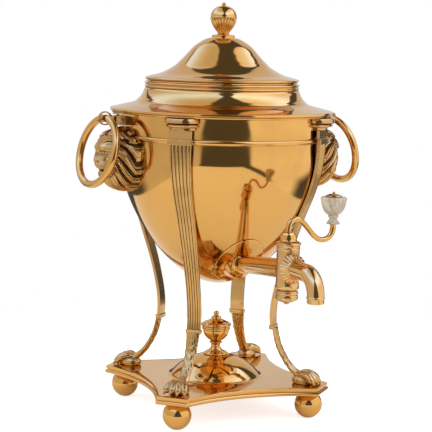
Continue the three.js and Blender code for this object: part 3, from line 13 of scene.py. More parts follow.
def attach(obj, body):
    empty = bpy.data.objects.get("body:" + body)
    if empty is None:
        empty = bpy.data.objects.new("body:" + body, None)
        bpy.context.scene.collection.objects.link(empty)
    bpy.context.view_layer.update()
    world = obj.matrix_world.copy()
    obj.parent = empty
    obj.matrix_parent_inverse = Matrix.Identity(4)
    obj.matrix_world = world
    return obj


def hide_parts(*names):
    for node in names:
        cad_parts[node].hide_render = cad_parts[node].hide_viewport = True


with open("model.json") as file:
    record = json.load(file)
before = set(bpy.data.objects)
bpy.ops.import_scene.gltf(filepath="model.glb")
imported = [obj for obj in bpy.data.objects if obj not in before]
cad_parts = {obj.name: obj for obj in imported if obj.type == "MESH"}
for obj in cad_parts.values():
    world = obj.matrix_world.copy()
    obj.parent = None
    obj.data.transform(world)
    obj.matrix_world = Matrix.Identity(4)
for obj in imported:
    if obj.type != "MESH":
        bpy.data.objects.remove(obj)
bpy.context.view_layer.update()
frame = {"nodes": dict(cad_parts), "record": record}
print("frame loaded:", len(frame["nodes"]), "nodes")

mm = 0.001
clearance = 0.3
corners = {"front_right": -45, "back_right": 45, "back_left": 135, "front_left": -135}
sides = {"right": 0, "left": 180}


# Surfaces

def fitted(points, count):
    # A cubic through every point whose slope there runs from the point before to the point after.
    p = np.asarray(points, float)
    padded = np.vstack([2 * p[0] - p[1], p, 2 * p[-1] - p[-2]])
    t = np.linspace(0, len(p) - 1, count)
    i = np.minimum(t.astype(int), len(p) - 2)
    s = (t - i)[:, None]
    a, b, c, d = (padded[i + k] for k in range(4))
    return b + 0.5 * s * (c - a + s * (2 * a - 5 * b + 4 * c - d + s * (3 * (b - c) + d - a)))


def softened(points, radius, steps=4):
    # Every corner is cut back by the radius on both sides and bridged by a parabola.
    p = np.asarray(points, float)
    out = [p[0]]
    for a, b, c in zip(p[:-2], p[1:-1], p[2:]):
        before, after = a - b, c - b
        lengths = np.hypot(*before), np.hypot(*after)
        if min(lengths) == 0 or 1 + before @ after / (lengths[0] * lengths[1]) < 0.02:
            out.append(b)
            continue
        back = min(radius, 0.45 * lengths[0], 0.45 * lengths[1])
        start, end = b + before / lengths[0] * back, b + after / lengths[1] * back
        s = np.linspace(0, 1, steps)[:, None]
        out.extend((1 - s) ** 2 * start + 2 * s * (1 - s) * b + s ** 2 * end)
    out.append(p[-1])
    return np.array(out)


def laid(table, origin, unit=1):
    # A table of points, given in a unit for each column, set out from an origin.
    return np.asarray(table, float) * unit + origin


def arc(centre, size, count, start=-np.pi / 2, end=np.pi / 2):
    # (width cos a, height sin a) about the centre
    a = np.linspace(start, end, count)
    return np.stack([np.cos(a), np.sin(a)], -1) * size + centre


def pick(values, names):
    return [values[name] for name in names.split()]


def level(outline, z):
    return np.column_stack([outline, np.full(len(outline), z)])


def inPlane(r, z):
    return np.stack([r, 0 * r, z], -1)


def ridges(count, angle):
    # |cos(n a / 2)|, which is 1 on each of n ridges round a circle and 0 between them
    return np.abs(np.cos(count * angle / 2))


def skin(grid, looped=False):
    # Rows of points, each row a closed ring, become quads between neighbouring rows. The first and last
    # ring are fanned shut from their middles, or joined to each other where the skin is looped.
    rows, cols = grid.shape[:2]
    points = grid.reshape(-1, 3)
    r, c = np.meshgrid(np.arange(rows if looped else rows - 1), np.arange(cols), indexing="ij")
    a, b = r * cols + c, r * cols + (c + 1) % cols
    up = ((r + 1) % rows - r) * cols
    quads = np.stack([a, b, b + up, a + up], -1).reshape(-1, 4)
    fans = np.zeros((0, 3), int)
    if not looped:
        ring, last = np.arange(cols), (rows - 1) * cols
        following = (ring + 1) % cols
        fans = np.vstack([np.stack([following, ring, np.full(cols, len(points))], -1),
                          np.stack([ring + last, following + last, np.full(cols, len(points) + 1)], -1)])
        points = np.vstack([points, grid[0].mean(0), grid[-1].mean(0)])
    return points, quads, fans


def shown(name, grid, looped=False, sharp=32):
    # Makes the object, with its faces turned outwards by the sign of the volume they enclose.
    points, quads, fans = skin(np.asarray(grid, float), looped)
    triangles = np.vstack([quads[:, [0, 1, 2]], quads[:, [0, 2, 3]], fans])
    volume = np.einsum("ij,ij->", points[triangles[:, 0]],
                       np.cross(points[triangles[:, 1]], points[triangles[:, 2]]))
    if volume < 0:
        quads, fans = quads[:, ::-1], fans[:, ::-1]
    mesh = bpy.data.meshes.new(name)
    mesh.from_pydata((points * mm).tolist(), [], quads.tolist() + fans.tolist())
    return finished(name, mesh, sharp)


def placed(name, data):
    thing = bpy.data.objects.new(name, data)
    bpy.context.scene.collection.objects.link(thing)
    return thing


def finished(name, mesh, sharp=32):
    clean(mesh)
    mesh.shade_smooth()
    mesh.set_sharp_from_angle(angle=math.radians(sharp))
    return placed(name, mesh)


def clean(mesh):
    # Points that fall together are merged, and faces that lose their area go.
    work = bmesh.new()
    work.from_mesh(mesh)
    bmesh.ops.remove_doubles(work, verts=work.verts, dist=0.0005 * mm)
    bmesh.ops.dissolve_degenerate(work, edges=work.edges, dist=0.0002 * mm)
    work.to_mesh(mesh)
    work.free()


def turned(profile, steps, lobes=None):
    # x = r cos a, y = r sin a, z as in the profile; lobes may change r with the angle.
    p = np.asarray(profile, float)
    a = np.linspace(0, 2 * np.pi, steps, endpoint=False)
    r = np.repeat(p[:, :1], steps, 1)
    if lobes is not None:
        r = r * lobes(p[:, 1:], a[None, :])
    return np.stack([r * np.cos(a), r * np.sin(a), np.repeat(p[:, 1:], steps, 1)], -1)


def alongPath(path, radii, steps, flat=(1, 0, 0)):
    # Each ring lies square to the path: centre + radius (cos a across + sin a up).
    path = np.asarray(path, float)
    radii = np.asarray(radii, float)
    if radii.ndim == 1:
        radii = np.stack([radii, radii], -1)
    forward = np.gradient(path, axis=0)
    forward /= np.linalg.norm(forward, axis=1)[:, None]
    across = np.broadcast_to(np.asarray(flat, float), path.shape)
    across = across - (across * forward).sum(1)[:, None] * forward
    across = across / np.linalg.norm(across, axis=1)[:, None]
    up = np.cross(across, forward)
    a = np.linspace(0, 2 * np.pi, steps, endpoint=False)[None, :, None]
    return (path[:, None] + across[:, None] * np.cos(a) * radii[:, None, :1]
            + up[:, None] * np.sin(a) * radii[:, None, 1:])


def spun(grid, degrees):
    # Turns points about the urn's axis.
    c, s = math.cos(math.radians(degrees)), math.sin(math.radians(degrees))
    x, y, z = np.moveaxis(np.asarray(grid, float), -1, 0)
    return np.stack([c * x - s * y, s * x + c * y, z], -1)


def moved(grid, x=0, y=0, z=0):
    return np.asarray(grid, float) + np.array([x, y, z], float)


def aimed(grid, start, direction):
    # Turns a shape made along Z so that it runs along the direction from the start.
    turn = Vector((0, 0, 1)).rotation_difference(Vector(direction)).to_matrix()
    return np.asarray(grid, float) @ np.array(turn).T + np.array(start, float)


def settled(piece, *others):
    # The mesh that a piece's modifiers make. The piece goes, and so does what they were fed.
    bpy.context.view_layer.update()
    mesh = bpy.data.meshes.new_from_object(piece.evaluated_get(bpy.context.evaluated_depsgraph_get()))
    for thing in (piece, *others):
        bpy.data.objects.remove(thing)
    return mesh


def fused(name, parts, tools=(), sharp=32):
    # One closed skin round all the parts, with the tools' shapes taken out of it.
    first, *others = parts
    for thing in [*others, *tools]:
        step = first.modifiers.new("join", "BOOLEAN")
        step.operation = "UNION" if thing in others else "DIFFERENCE"
        step.solver, step.object = "EXACT", thing
    return finished(name, settled(*parts, *tools), sharp)


def copied(piece, name, degrees):
    mesh = piece.data.copy()
    mesh.transform(Matrix.Rotation(math.radians(degrees), 4, "Z"))
    return placed(name, mesh)


slots = {row["node"]: row["material_slot"] for row in frame["record"]["subparts"]}


def dress(piece, body, node, material):
    # The piece stands for its CAD node, rides on its body and takes its finish.
    piece.data.materials.clear()
    piece.data.materials.append(material)
    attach(piece, body)
    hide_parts(node)


# The bowl's wall, which many pieces sit against
urn = {"radius": 107, "wall": 1.8, "bowlBottom": 134.8, "bowlTop": 270, "bend": 1.543, "full": 1.793,
       "bandBottom": 287.8, "bandHeight": 5.6, "bandProud": 1.6, "bandFillet": 0.25, "rim": 314.4}


def bodyReach(height, offset=0):
    # R = radius (1 - drop^bend)^(1/full), where drop runs from 0 at the bowl's top to 1 at its bottom.
    drop = np.clip((urn["bowlTop"] - height) / (urn["bowlTop"] - urn["bowlBottom"] + offset), 0, 1)
    return (urn["radius"] + offset) * (1 - drop ** urn["bend"]) ** (1 / urn["full"])


def bowlProfile(offset, count):
    a = np.linspace(0, np.pi / 2, count)
    r = (urn["radius"] + offset) * np.sin(a) ** (2 / urn["full"])
    depth = urn["bowlTop"] - urn["bowlBottom"] + offset
    return np.stack([r, urn["bowlTop"] - depth * np.cos(a).clip(0) ** (2 / urn["bend"])], -1)


# Materials

def wire(tree, target, links):
    # Sets a node's inputs, each from another node's output or to a value.
    for key, value in links.items():
        if isinstance(value, bpy.types.Node):
            value = value.outputs[0]
        if isinstance(value, bpy.types.NodeSocket):
            tree.links.new(value, target.inputs[key])
        else:
            target.inputs[key].default_value = value


def node(tree, kind, links=None, **settings):
    made = tree.nodes.new("ShaderNode" + kind)
    for key, value in settings.items():
        setattr(made, key, value)
    wire(tree, made, links or {})
    return made


def blank(name):
    # A new material, its tree, its shader and the place on the piece
    material = bpy.data.materials.new(name)
    material.use_nodes = True
    tree = material.node_tree
    return material, tree, tree.nodes["Principled BSDF"], node(tree, "TexCoord").outputs["Object"]


def patinaGroup():
    # Tarnish: broad clouds of darker metal, more of it in hollows. Marks: fine rubbed scratches.
    tree = bpy.data.node_groups.new("patina", "ShaderNodeTree")
    tree.interface.new_socket("Vector", in_out="INPUT", socket_type="NodeSocketVector")
    defaults = {"Hollow": 0.5, "Cloud Scale": 14, "Hollow Amount": 0.6, "Scratch Scale": 300}
    for label, value in defaults.items():
        socket = tree.interface.new_socket(label, in_out="INPUT", socket_type="NodeSocketFloat")
        socket.default_value = value
    for label in ("Tarnish", "Marks", "Dents"):
        tree.interface.new_socket(label, in_out="OUTPUT", socket_type="NodeSocketFloat")
    given = tree.nodes.new("NodeGroupInput").outputs
    place = given["Vector"]
    clouds = node(tree, "TexNoise", {"Vector": place, "Scale": given["Cloud Scale"], "Detail": 6,
                                     "Roughness": 0.6})
    spread = node(tree, "MapRange", {"Value": clouds, "From Min": 0.45, "From Max": 0.75, "To Max": 0.35})
    sunk = node(tree, "MapRange", {"Value": given["Hollow"], "From Min": 0.5, "From Max": 0.44})
    both = node(tree, "Math", {0: sunk, 1: given["Hollow Amount"], 2: spread}, operation="MULTIPLY_ADD",
                use_clamp=True)
    stretched = node(tree, "Mapping", {"Vector": place, "Scale": (1, 1, 0.08)})
    lines = node(tree, "TexNoise", {"Vector": stretched, "Scale": given["Scratch Scale"], "Detail": 3,
                                    "Roughness": 0.7})
    dents = node(tree, "TexNoise", {"Vector": place, "Scale": 22, "Detail": 1})
    wire(tree, tree.nodes.new("NodeGroupOutput"), {"Tarnish": both, "Marks": lines, "Dents": dents})
    return tree


patina = patinaGroup()


def metal(name, look):
    # Polished metal: two tones mixed by the patina, and a bump of dents with fine marks on it.
    material, tree, shader, place = blank(name)
    shape = node(tree, "NewGeometry")
    worn = node(tree, "Group", {
        "Vector": place, "Hollow": shape.outputs["Pointiness"], "Cloud Scale": look["clouds"],
        "Hollow Amount": look["hollows"], "Scratch Scale": look["scratches"]}, node_tree=patina).outputs
    tones = node(tree, "Mix", {"A": (*look["bright"], 1), "B": (*look["dull"], 1),
                               "Factor": worn["Tarnish"]}, data_type="RGBA")
    rough = node(tree, "MapRange", {"Value": worn["Tarnish"], "To Min": look["polish"],
                                    "To Max": look["polish"] + look["dulling"]})
    wobble = node(tree, "Bump", {"Height": worn["Dents"], "Strength": 1, "Distance": look["dents"] * mm})
    marks = node(tree, "Bump", {"Height": worn["Marks"], "Strength": 1, "Distance": look["marks"] * mm,
                                "Normal": wobble})
    wire(tree, shader, {"Metallic": 1, "Base Color": tones.outputs["Result"], "Roughness": rough,
                        "Normal": marks})
    return material


spunBrass = metal("spunBrass", {
    "bright": (0.77, 0.415, 0.115), "dull": (0.56, 0.28, 0.07), "polish": 0.07, "dulling": 0.2,
    "clouds": 12.0, "hollows": 0.6, "scratches": 320.0, "dents": 0.10, "marks": 0.004})
castBrass = metal("castBrass", {
    "bright": (0.66, 0.38, 0.13), "dull": (0.17, 0.095, 0.03), "polish": 0.15, "dulling": 0.35,
    "clouds": 34.0, "hollows": 1.0, "scratches": 420.0, "dents": 0.12, "marks": 0.01})
tapBrass = metal("tapBrass", {
    "bright": (0.78, 0.45, 0.16), "dull": (0.30, 0.16, 0.05), "polish": 0.1, "dulling": 0.25,
    "clouds": 40.0, "hollows": 0.9, "scratches": 420.0, "dents": 0.06, "marks": 0.006})
fittingBrass = metal("fittingBrass", {
    "bright": (0.62, 0.40, 0.17), "dull": (0.25, 0.14, 0.05), "polish": 0.3, "dulling": 0.3,
    "clouds": 60.0, "hollows": 0.9, "scratches": 500.0, "dents": 0.02, "marks": 0.02})


def fibrous(name, look):
    # Two tones and a bump, both from one texture, which is stretched along the piece.
    material, tree, shader, place = blank(name)
    grain = node(tree, "Mapping", {"Vector": place, "Scale": (1, 1, look["stretch"])})
    pattern = node(tree, look["texture"], {"Vector": grain, **look["inputs"]}).outputs["Fac"]
    tones = node(tree, "ValToRGB", {"Fac": pattern})
    for stop, (position, colour) in zip(tones.color_ramp.elements, look["tones"]):
        stop.position, stop.color = position, (*colour, 1)
    relief = node(tree, "Bump", {"Height": pattern, "Distance": look["relief"] * mm})
    wire(tree, shader, {"Base Color": tones, "Roughness": look["rough"], "Normal": relief})
    return material


knobBone = fibrous("knobBone", {
    "texture": "TexNoise", "inputs": {"Scale": 150, "Detail": 6, "Roughness": 0.65}, "stretch": 0.35,
    "tones": [(0.32, (0.34, 0.23, 0.13)), (0.6, (0.68, 0.60, 0.48))], "rough": 0.32, "relief": 0.05})
wickCotton = fibrous("wickCotton", {
    "texture": "TexWave", "inputs": {"Scale": 900, "Distortion": 2}, "stretch": 1,
    "tones": [(0, (0.45, 0.38, 0.28)), (1, (0.74, 0.68, 0.56))], "rough": 0.9, "relief": 0.2})
finishes = {"spun_brass": spunBrass, "cast_brass": castBrass, "fitting_brass": fittingBrass,
            "knob": knobBone, "wick": wickCotton}
for name, slot in slots.items():
    cadMesh = frame["nodes"][name].data
    cadMesh.materials.clear()
    cadMesh.materials.append(finishes[slot])
print("materials made")

# Plinth on its four ball feet

plinth = {"reach": 122, "cant": 34, "side": 82, "bottom": 27, "roll": 4.2, "groove": 1.2, "fillet": 3,
          "grooveInset": 2.2, "filletInset": 0.9, "edge": 7, "hollowRadius": 74, "hollow": 4.6,
          "dome": 49, "domeRise": 21.8, "domeLip": (6, 1.4), "seat": 14.4, "hole": 2, "wall": 2.4}
plinth["top"] = plinth["bottom"] + plinth["roll"] + plinth["groove"] + plinth["fillet"]


def plinthOutline(inset):
    # A square with hollow sides and canted corners. Each side is the arc through two corners and the
    # side's middle: centre at middle + R, where R = (half side^2 + sag^2) / (2 sag).
    reach, middle = plinth["reach"] - inset, plinth["side"] - inset
    half = plinth["cant"] / 2 - inset * math.tan(math.pi / 8)
    end = np.array([reach + half, reach - half]) * math.sqrt(0.5)
    sag = end[0] - middle
    radius = (end[1] ** 2 + sag ** 2) / (2 * sag)
    spread = math.asin(end[1] / radius)
    side = arc((middle + radius, 0), (-radius, radius), 40, -spread, spread)
    t = np.linspace(0, 1, 10)[1:-1, None]
    quarter = np.vstack([side, side[-1] * (1 - t) + side[-1][::-1] * t])
    return np.vstack([spun(level(quarter, 0), turn)[:, :2] for turn in (0, 90, 180, 270)])


def makePlinth():
    bottom, top, rise, radius, seat, wide = pick(plinth, "bottom top domeRise dome seat hollowRadius")
    base = plinthOutline(0)
    circle = base / np.hypot(*base.T)[:, None]
    # The dome is part of a ball: sink is how far its centre lies under the plinth's top.
    sink = (radius ** 2 - seat ** 2 - rise ** 2) / (2 * rise)
    ball = math.hypot(radius, sink)
    outer = arc((0, top - sink), ball, 40, math.atan2(sink, radius), math.atan2(sink + rise, seat))
    under = arc((0, top - sink), ball - plinth["wall"], 30, math.pi / 2 - 0.03,
                math.atan2(sink - 3.8, radius))
    ceiling = bottom + plinth["hollow"]
    under = under[under[:, 1] > ceiling]
    hollow = softened([under[-1], (under[-1, 0] + 1, ceiling), (wide, ceiling), (wide, bottom),
                       (wide + 1, bottom)], 0.8)
    half = plinth["roll"] / 2
    roll = arc((half, bottom + half), (-half, half), 13)
    groove, fillet, ledge = plinth["grooveInset"], plinth["filletInset"], top - plinth["fillet"]
    edge = softened([(groove, roll[-1, 1] + 0.1), (groove, ledge), (fillet, ledge), (fillet, top),
                     (plinth["edge"], top)], 0.55)
    lip = softened([*[(radius + more, top) for more in plinth["domeLip"]], outer[1], outer[3]], 1.2)
    hub = softened([outer[-1], (seat - 0.6, outer[-1, 1]), (plinth["hole"], outer[-1, 1])], 0.4)
    rows = [level(circle * r, z) for r, z in [*under, *hollow[1:]]]
    rows += [level(plinthOutline(inset), z) for inset, z in [*roll, *edge]]
    rows += [level(circle * r, z) for r, z in [*lip, *outer[4:-1], *hub[1:]]]
    return shown("plinth", np.array(rows), sharp=28)


dress(makePlinth(), "urn", "plinth", spunBrass)

feet = {"radius": 14.6, "sole": 3.6, "reach": 105.5}


def ballProfile():
    radius = feet["radius"]
    centre = math.sqrt(radius ** 2 - feet["sole"] ** 2)
    top = plinth["bottom"] - clearance
    ball = arc((0, centre), radius, 64, math.asin(-centre / radius), math.asin((top - centre) / radius))
    return np.vstack([(0.4, ball[0, 1]), ball, (0.4, ball[-1, 1])])


for corner, degrees in corners.items():
    foot = shown("ballFoot_" + corner, spun(moved(turned(ballProfile(), 96), feet["reach"]), degrees))
    dress(foot, "urn", "ball_foot_" + corner, spunBrass)
print("plinth and feet")

# Urn body, a bowl under a plain cylinder with a raised band


def makeBody():
    r, rim, wall, low, proud, fillet = pick(urn, "radius rim wall bandBottom bandProud bandFillet")
    high = low + urn["bandHeight"]
    band = arc((r + fillet, (low + high) / 2), (proud - fillet, (high - low) / 2 - 2 * fillet), 15)
    outer = np.vstack([bowlProfile(0, 120)[1:], (r, low - 6), (r, low), (r + fillet, low + fillet), band,
                       (r + fillet, high - fillet), (r, high), (r, high + 6)])
    edge = softened([(r, high + 6), (r, rim), (r - wall, rim), (r - wall, rim - 6)], 0.4)
    inner = bowlProfile(-wall, 80)[::-1]
    return shown("urnBody", turned(np.vstack([outer, edge[1:], inner[:-1]]), 256), sharp=40)


dress(makeBody(), "urn", "urn_body", spunBrass)

shoulder = {"flange": 116.8, "bottom": 314.7, "thick": 4.6, "neck": 80.2, "mouth": 74.6, "top": 348.4,
            "skirt": 104.9, "skirtDepth": 4, "wall": 1.8, "bead": 1.3, "beadDrops": (6.3, 2.7),
            "lip": [(-1.5, 0), (-1.1, 1.2), (-1.9, 1.7), (0, 2.3)],
            "curve": [(0.66, 0.1), (0.33, 0.21), (0.2, 0.33), (0.125, 0.44), (0.07, 0.56), (0.035, 0.68)]}


def makeShoulder():
    flange, bottom, neck, mouth, height, skirt, wall = pick(
        shoulder, "flange bottom neck mouth top skirt wall")
    low, top = bottom - shoulder["skirtDepth"], bottom + shoulder["thick"]
    rise = height - top
    roof = laid(shoulder["curve"], (neck, top), (flange - neck, rise))
    curve = fitted([(flange - 0.6, top + 0.05), *roof], 70)
    lip = softened([(skirt - wall, low), (skirt, low), (skirt, bottom),
                    *laid(shoulder["lip"], (flange, bottom)), (flange, top - 0.2), curve[0]], 0.4, 5)
    beads = np.vstack([arc((neck - 0.26, height - drop), shoulder["bead"], 12)
                       for drop in shoulder["beadDrops"]])
    rim = softened([beads[-1], (neck - 0.9, height - 1), (neck - 1.3, height), (mouth, height),
                    (mouth, height - 6), (mouth, top + rise * 0.62)], 0.4)
    inner = curve[::-1][12:] - (wall * 0.8, wall)
    inner = inner[(inner[:, 0] > mouth + 2) & (inner[:, 0] < skirt - 4)]
    profile = np.vstack([lip, curve[1:], beads, rim[1:], inner, (skirt - wall, top - 1.6)])
    return shown("shoulder", turned(profile, 256), looped=True, sharp=35)


dress(makeShoulder(), "urn", "shoulder", spunBrass)

lid = {"brim": 80.8, "brimHeight": 3.2, "seat": 348.7, "crown": 393.6, "wall": 1.8, "skirt": 74,
       "skirtDepth": 6, "skirtWall": 1.6, "top": 12.4, "hole": 1.9, "lip": [(-1.9, 0), (-0.2, 1), (0, 2)],
       "curve": [(0.93, 0.02), (0.76, 0.095), (0.58, 0.25), (0.48, 0.39), (0.37, 0.58), (0.25, 0.79),
                 (0.1, 0.95)]}


def makeLid():
    brim, seat, crown, wall, skirt, top, hole = pick(lid, "brim seat crown wall skirt top hole")
    low, bottom, skirtIn = seat + lid["brimHeight"], seat - lid["skirtDepth"], skirt - lid["skirtWall"]
    curve = fitted([(brim - 0.8, low - 0.4), *laid(lid["curve"], (top, low), (brim - top, crown - low)),
                    (top + 1, crown)], 110)
    edge = softened([(skirtIn, bottom), (skirt, bottom), (skirt, seat), *laid(lid["lip"], (brim, seat)),
                     curve[0]], 0.5, 5)
    hub = softened([(top + 1, crown), (hole, crown), (hole, crown - wall), (top, crown - wall)], 0.3)
    inner = curve[::-1] - (wall * 0.7, wall * 0.9)
    inner = inner[(inner[:, 0] < skirtIn - 2) & (inner[:, 0] > top + 0.5)]
    profile = np.vstack([edge, curve[1:], hub[1:], inner, (skirtIn, seat)])
    return shown("lid", turned(profile, 224), looped=True, sharp=35)


dress(makeLid(), "lid", "lid", spunBrass)

finial = {"base": 393.9, "ball": 13.9, "squash": 0.84, "top": 430, "button": 3.4, "flutes": 24,
          "depth": 0.1, "stud": 1.6, "studLength": 12,
          "foot": [(12.1, 0), (12.1, 2), (10.285, 2.7), (6.5, 3.1), (5.8, 3.7)],
          "egg": [(5.9, -17.2), (6.5, -15.6), (8.7, -12.8), (10.9, -9.6), (12.7, -5.8), (13.7, -2.4),
                  (13.9, 0)],
          "tip": [(2.3, -2.4), (2.3, -1.2), (1.3, 0), (0.2, 0)]}


def makeFinial():
    base, ball, top, stud, depth = pick(finial, "base ball top stud depth")
    ballTop, tall = top - finial["button"], ball * finial["squash"]
    middle = ballTop - tall
    foot = softened([(stud, base - finial["studLength"]), (stud, base),
                     *laid(finial["foot"], (0, base))], 0.5, 5)
    egg = fitted(laid(finial["egg"], (0, middle)), 60)
    cap = arc((0, middle + 0.35), (ball * 0.985, tall), 40, 0, math.radians(78))
    tip = softened([cap[-1], (1.6, ballTop), *laid(finial["tip"], (0, top))], 0.6)

    def fluted(z, angle):
        # r (1 - depth (1 - |cos(n a / 2)|^0.8)) under the ball's middle, fading out at the neck
        up = np.clip((z - egg[0, 1]) / (middle - egg[0, 1]), 0, 1)
        fade = np.clip(up / 0.3, 0, 1) * (z <= middle) * np.clip((1 - up) / 0.06, 0, 1)
        return 1 - depth * fade * (1 - ridges(finial["flutes"], angle) ** 0.8)

    profile = np.vstack([foot, egg, cap, tip[1:]])
    return shown("lidFinial", turned(profile, 384, fluted), sharp=40)


dress(makeFinial(), "lid", "lid_finial", spunBrass)
print("vessel and lid")

# Legs: a reeded strap down the bowl, a collar, a hairy shank and a lion's paw

legs = {"topReach": 110.4, "top": 302, "thick": 3, "wide": 24, "narrow": 15, "waist": 140, "reeds": 5,
        "reedDepth": 1.1, "border": 0.06, "edge": 0.3, "collar": 92, "paw": 118,
        "crossSize": (4.6, 27), "collarSize": (5.4, 17.2, 3.2), "collarFootSize": (4.8, 16.2, 1.6),
        "curve": [(0.585, 0.305), (0.579, 0.35), (0.595, 0.41), (0.655, 0.505), (0.738, 0.599),
                  (0.82, 0.687), (0.91, 0.775), (0.972, 0.846), (1, 0.925), (1, 0.953), (1, 1)],
        "shank": [(0.562, 1, 15, 4.6), (0.578, 0.84, 14.4, 5.1), (0.61, 0.64, 13.2, 5.6),
                  (0.672, 0.41, 12, 6), (0.735, 0.255, 11.7, 6.6), (0.8, 0.16, 12.6, 7.5),
                  (0.84, 0.12, 14, 8)]}
paw = {"heel": 27, "turn": 17, "voxel": 0.45, "pad": (13, 9.6, 7.2), "padAt": (9, 0, 3.4),
       "lock": 7.5, "lockDepth": 0.34, "hairDepth": 0.26,
       "toe": [(2, 6.6, 4), (9, 10, 4.6), (15, 9.7, 4.5), (20, 6.9, 4.1), (23, 4.7, 3.4), (24.4, 3.7, 2.4)],
       "claw": [(20, 4.2, 2), (24.2, 3.6, 1.8), (25.9, 2.2, 1.3), (26.6, 1, 0.5)]}


def strapPath():
    p = fitted(laid(legs["curve"], 0, (legs["topReach"], legs["top"])), 200)
    p[:, 0] = np.maximum(p[:, 0], bodyReach(p[:, 1]) + clearance + legs["thick"] / 2)
    return p


def strapSection(width, reeded):
    # Across the front: depth = t/2 - d + d sqrt(1 - u^2) over each reed, flat at both borders.
    half, front, n, edge = width / 2, legs["thick"] / 2, legs["reeds"], legs["edge"]
    border, drop = legs["border"] * width, reeded * legs["reedDepth"]
    u = np.tile(np.linspace(-1, 1, 9)[:-1], n)
    side = border - half + (width - 2 * border) / n * (np.arange(n).repeat(8) + (u + 1) / 2)
    reeds = np.stack([side, front - drop * (1 - np.sqrt(1 - u ** 2))], -1)
    left = [(-half, edge - front), (-half, front - edge), (edge - half, front),
            (border - half - 0.05, front)]
    right = [(half - border, front - drop), (half - border + 0.05, front), (half - edge, front),
             (half, front - edge), (half, edge - front), (half - edge, -front), (0, -front),
             (edge - half, -front)]
    return np.vstack([left, reeds, right]).T


def makeStrap():
    path = strapPath()
    forward = np.gradient(path, axis=0)
    forward /= np.linalg.norm(forward, axis=1)[:, None]
    share = np.clip((path[:, 1] - legs["waist"]) / (legs["top"] - legs["waist"]), 0, 1)
    widths = legs["narrow"] + (legs["wide"] - legs["narrow"]) * share
    rows = []
    for (r, z), (out, up), width in zip(path, forward, widths):
        side, depth = strapSection(width, float(z < urn["bandBottom"]))
        rows.append(np.stack([r + up * depth, side, z - out * depth], -1))
    return shown("strap", np.array(rows), sharp=40)


def cushion(name, centre, size):
    # A block with rounded edges: a super-ellipsoid |x|^10 + |y|^10 + |z|^10 = 1.
    a = np.linspace(-np.pi, np.pi, 64, endpoint=False)[None]
    b = np.linspace(-np.pi / 2 + 0.02, np.pi / 2 - 0.02, 40)[:, None]
    ball = np.stack([np.cos(b) * np.cos(a), np.cos(b) * np.sin(a), np.sin(b) + 0 * a], -1)
    return shown(name, np.sign(ball) * np.abs(ball) ** 0.2 * np.array(size) / 2 + centre)


def shankGrid():
    top = plinth["top"]
    stops = laid(legs["shank"], (0, top, 0, 0), (legs["paw"], legs["collar"] - top, 1, 1))
    r, z, wide, deep = fitted(stops, 90).T
    return alongPath(inPlane(r, z), np.stack([wide, deep], -1) / 2, 56, flat=(0, 1, 0))


def toeGrids(turn):
    grids = []
    for table, count in ((paw["toe"], 30), (paw["claw"], 16)):
        r, z, size = fitted(table, count).T
        grid = alongPath(inPlane(r, z + plinth["top"]), size, 20, flat=(0, 1, 0))
        grids.append(moved(spun(grid, turn), legs["paw"] - paw["heel"]))
    return grids


def makeFootCasting():
    # Shank, toes, claws and pad melt into one skin of small even faces, which is then smoothed.
    top, end = plinth["top"], np.pi / 2 - 0.05
    parts = [shown("shank", shankGrid())]
    for k in range(4):
        parts += [shown("toe", grid) for grid in toeGrids(paw["turn"] * (k - 1.5))]
    pad = turned(arc(0, 1, 24, -end, end), 40) * paw["pad"] + paw["padAt"]
    parts.append(shown("pad", moved(pad, legs["paw"] - paw["heel"], 0, top)))
    joined = parts[0]
    with bpy.context.temp_override(active_object=joined, selected_editable_objects=parts):
        bpy.ops.object.join()
    melt = joined.modifiers.new("melt", "REMESH")
    melt.mode, melt.voxel_size = "VOXEL", paw["voxel"] * mm
    smooth = joined.modifiers.new("smooth", "SMOOTH")
    smooth.factor, smooth.iterations = 0.5, 4
    mesh = settled(joined)
    points, normals = np.empty((2, 3 * len(mesh.vertices)))
    mesh.vertices.foreach_get("co", points)
    mesh.vertices.foreach_get("normal", normals)
    points, normals = points.reshape(-1, 3) / mm, normals.reshape(-1, 3)
    # Hair: grooves that run down the shank in overlapping V-shaped locks and fade out on the toes.
    y, z = points.T[1:]
    lock = np.abs(((z - 0.9 * np.abs(y)) / paw["lock"]) % 1 - 0.5) * 2
    hair = 0.5 + 0.5 * np.sin(2.6 * np.abs(y) + 0.55 * z + 2.2 * np.sin(z / 3.1))
    fade = np.clip((z - top - 9.5) / 5, 0, 1) * np.clip((legs["collar"] - 1 - z) / 3, 0, 1)
    depth = fade * (paw["lockDepth"] * (1 - lock) ** 1.5 + paw["hairDepth"] * hair)
    points -= normals * depth[:, None]
    points[:, 2] = np.maximum(points[:, 2], top + clearance)
    mesh.vertices.foreach_set("co", (points * mm).ravel())
    return placed("footCasting", mesh)


def makeLeg():
    waist = strapPath()[0, 0]
    band = urn["bandHeight"]
    parts = [makeStrap(),
             cushion("cross", (legs["topReach"] + 1.3, 0, urn["bandBottom"] + band / 2),
                     (*legs["crossSize"], band)),
             cushion("collar", (waist, 0, legs["collar"] + 1.5), legs["collarSize"]),
             cushion("collarFoot", (waist, 0, legs["collar"] - 0.6), legs["collarFootSize"]),
             makeFootCasting()]
    return fused("leg", parts, sharp=35)


capital = {"width": 36, "reach": 123, "neck": 29, "neckReach": 115.5, "bottom": 302.3, "top": 314.1,
           "back": 107.3, "foot": [(-1, -0.5, 0), (0, 0, 0.5), (0, 0, 2.2), (1.4, 0.9, 2.6)],
           "ovolo": [(1.4, 0.9, 4.7), (4.4, 4.6, 1.9)], "neckTop": (3, 3.4, 6.9),
           "slabLow": [(-0.8, -0.6, 7.2), (0, 0, 7.7)], "slabHigh": [(0, 0, -0.6), (-0.8, -0.5, 0)]}


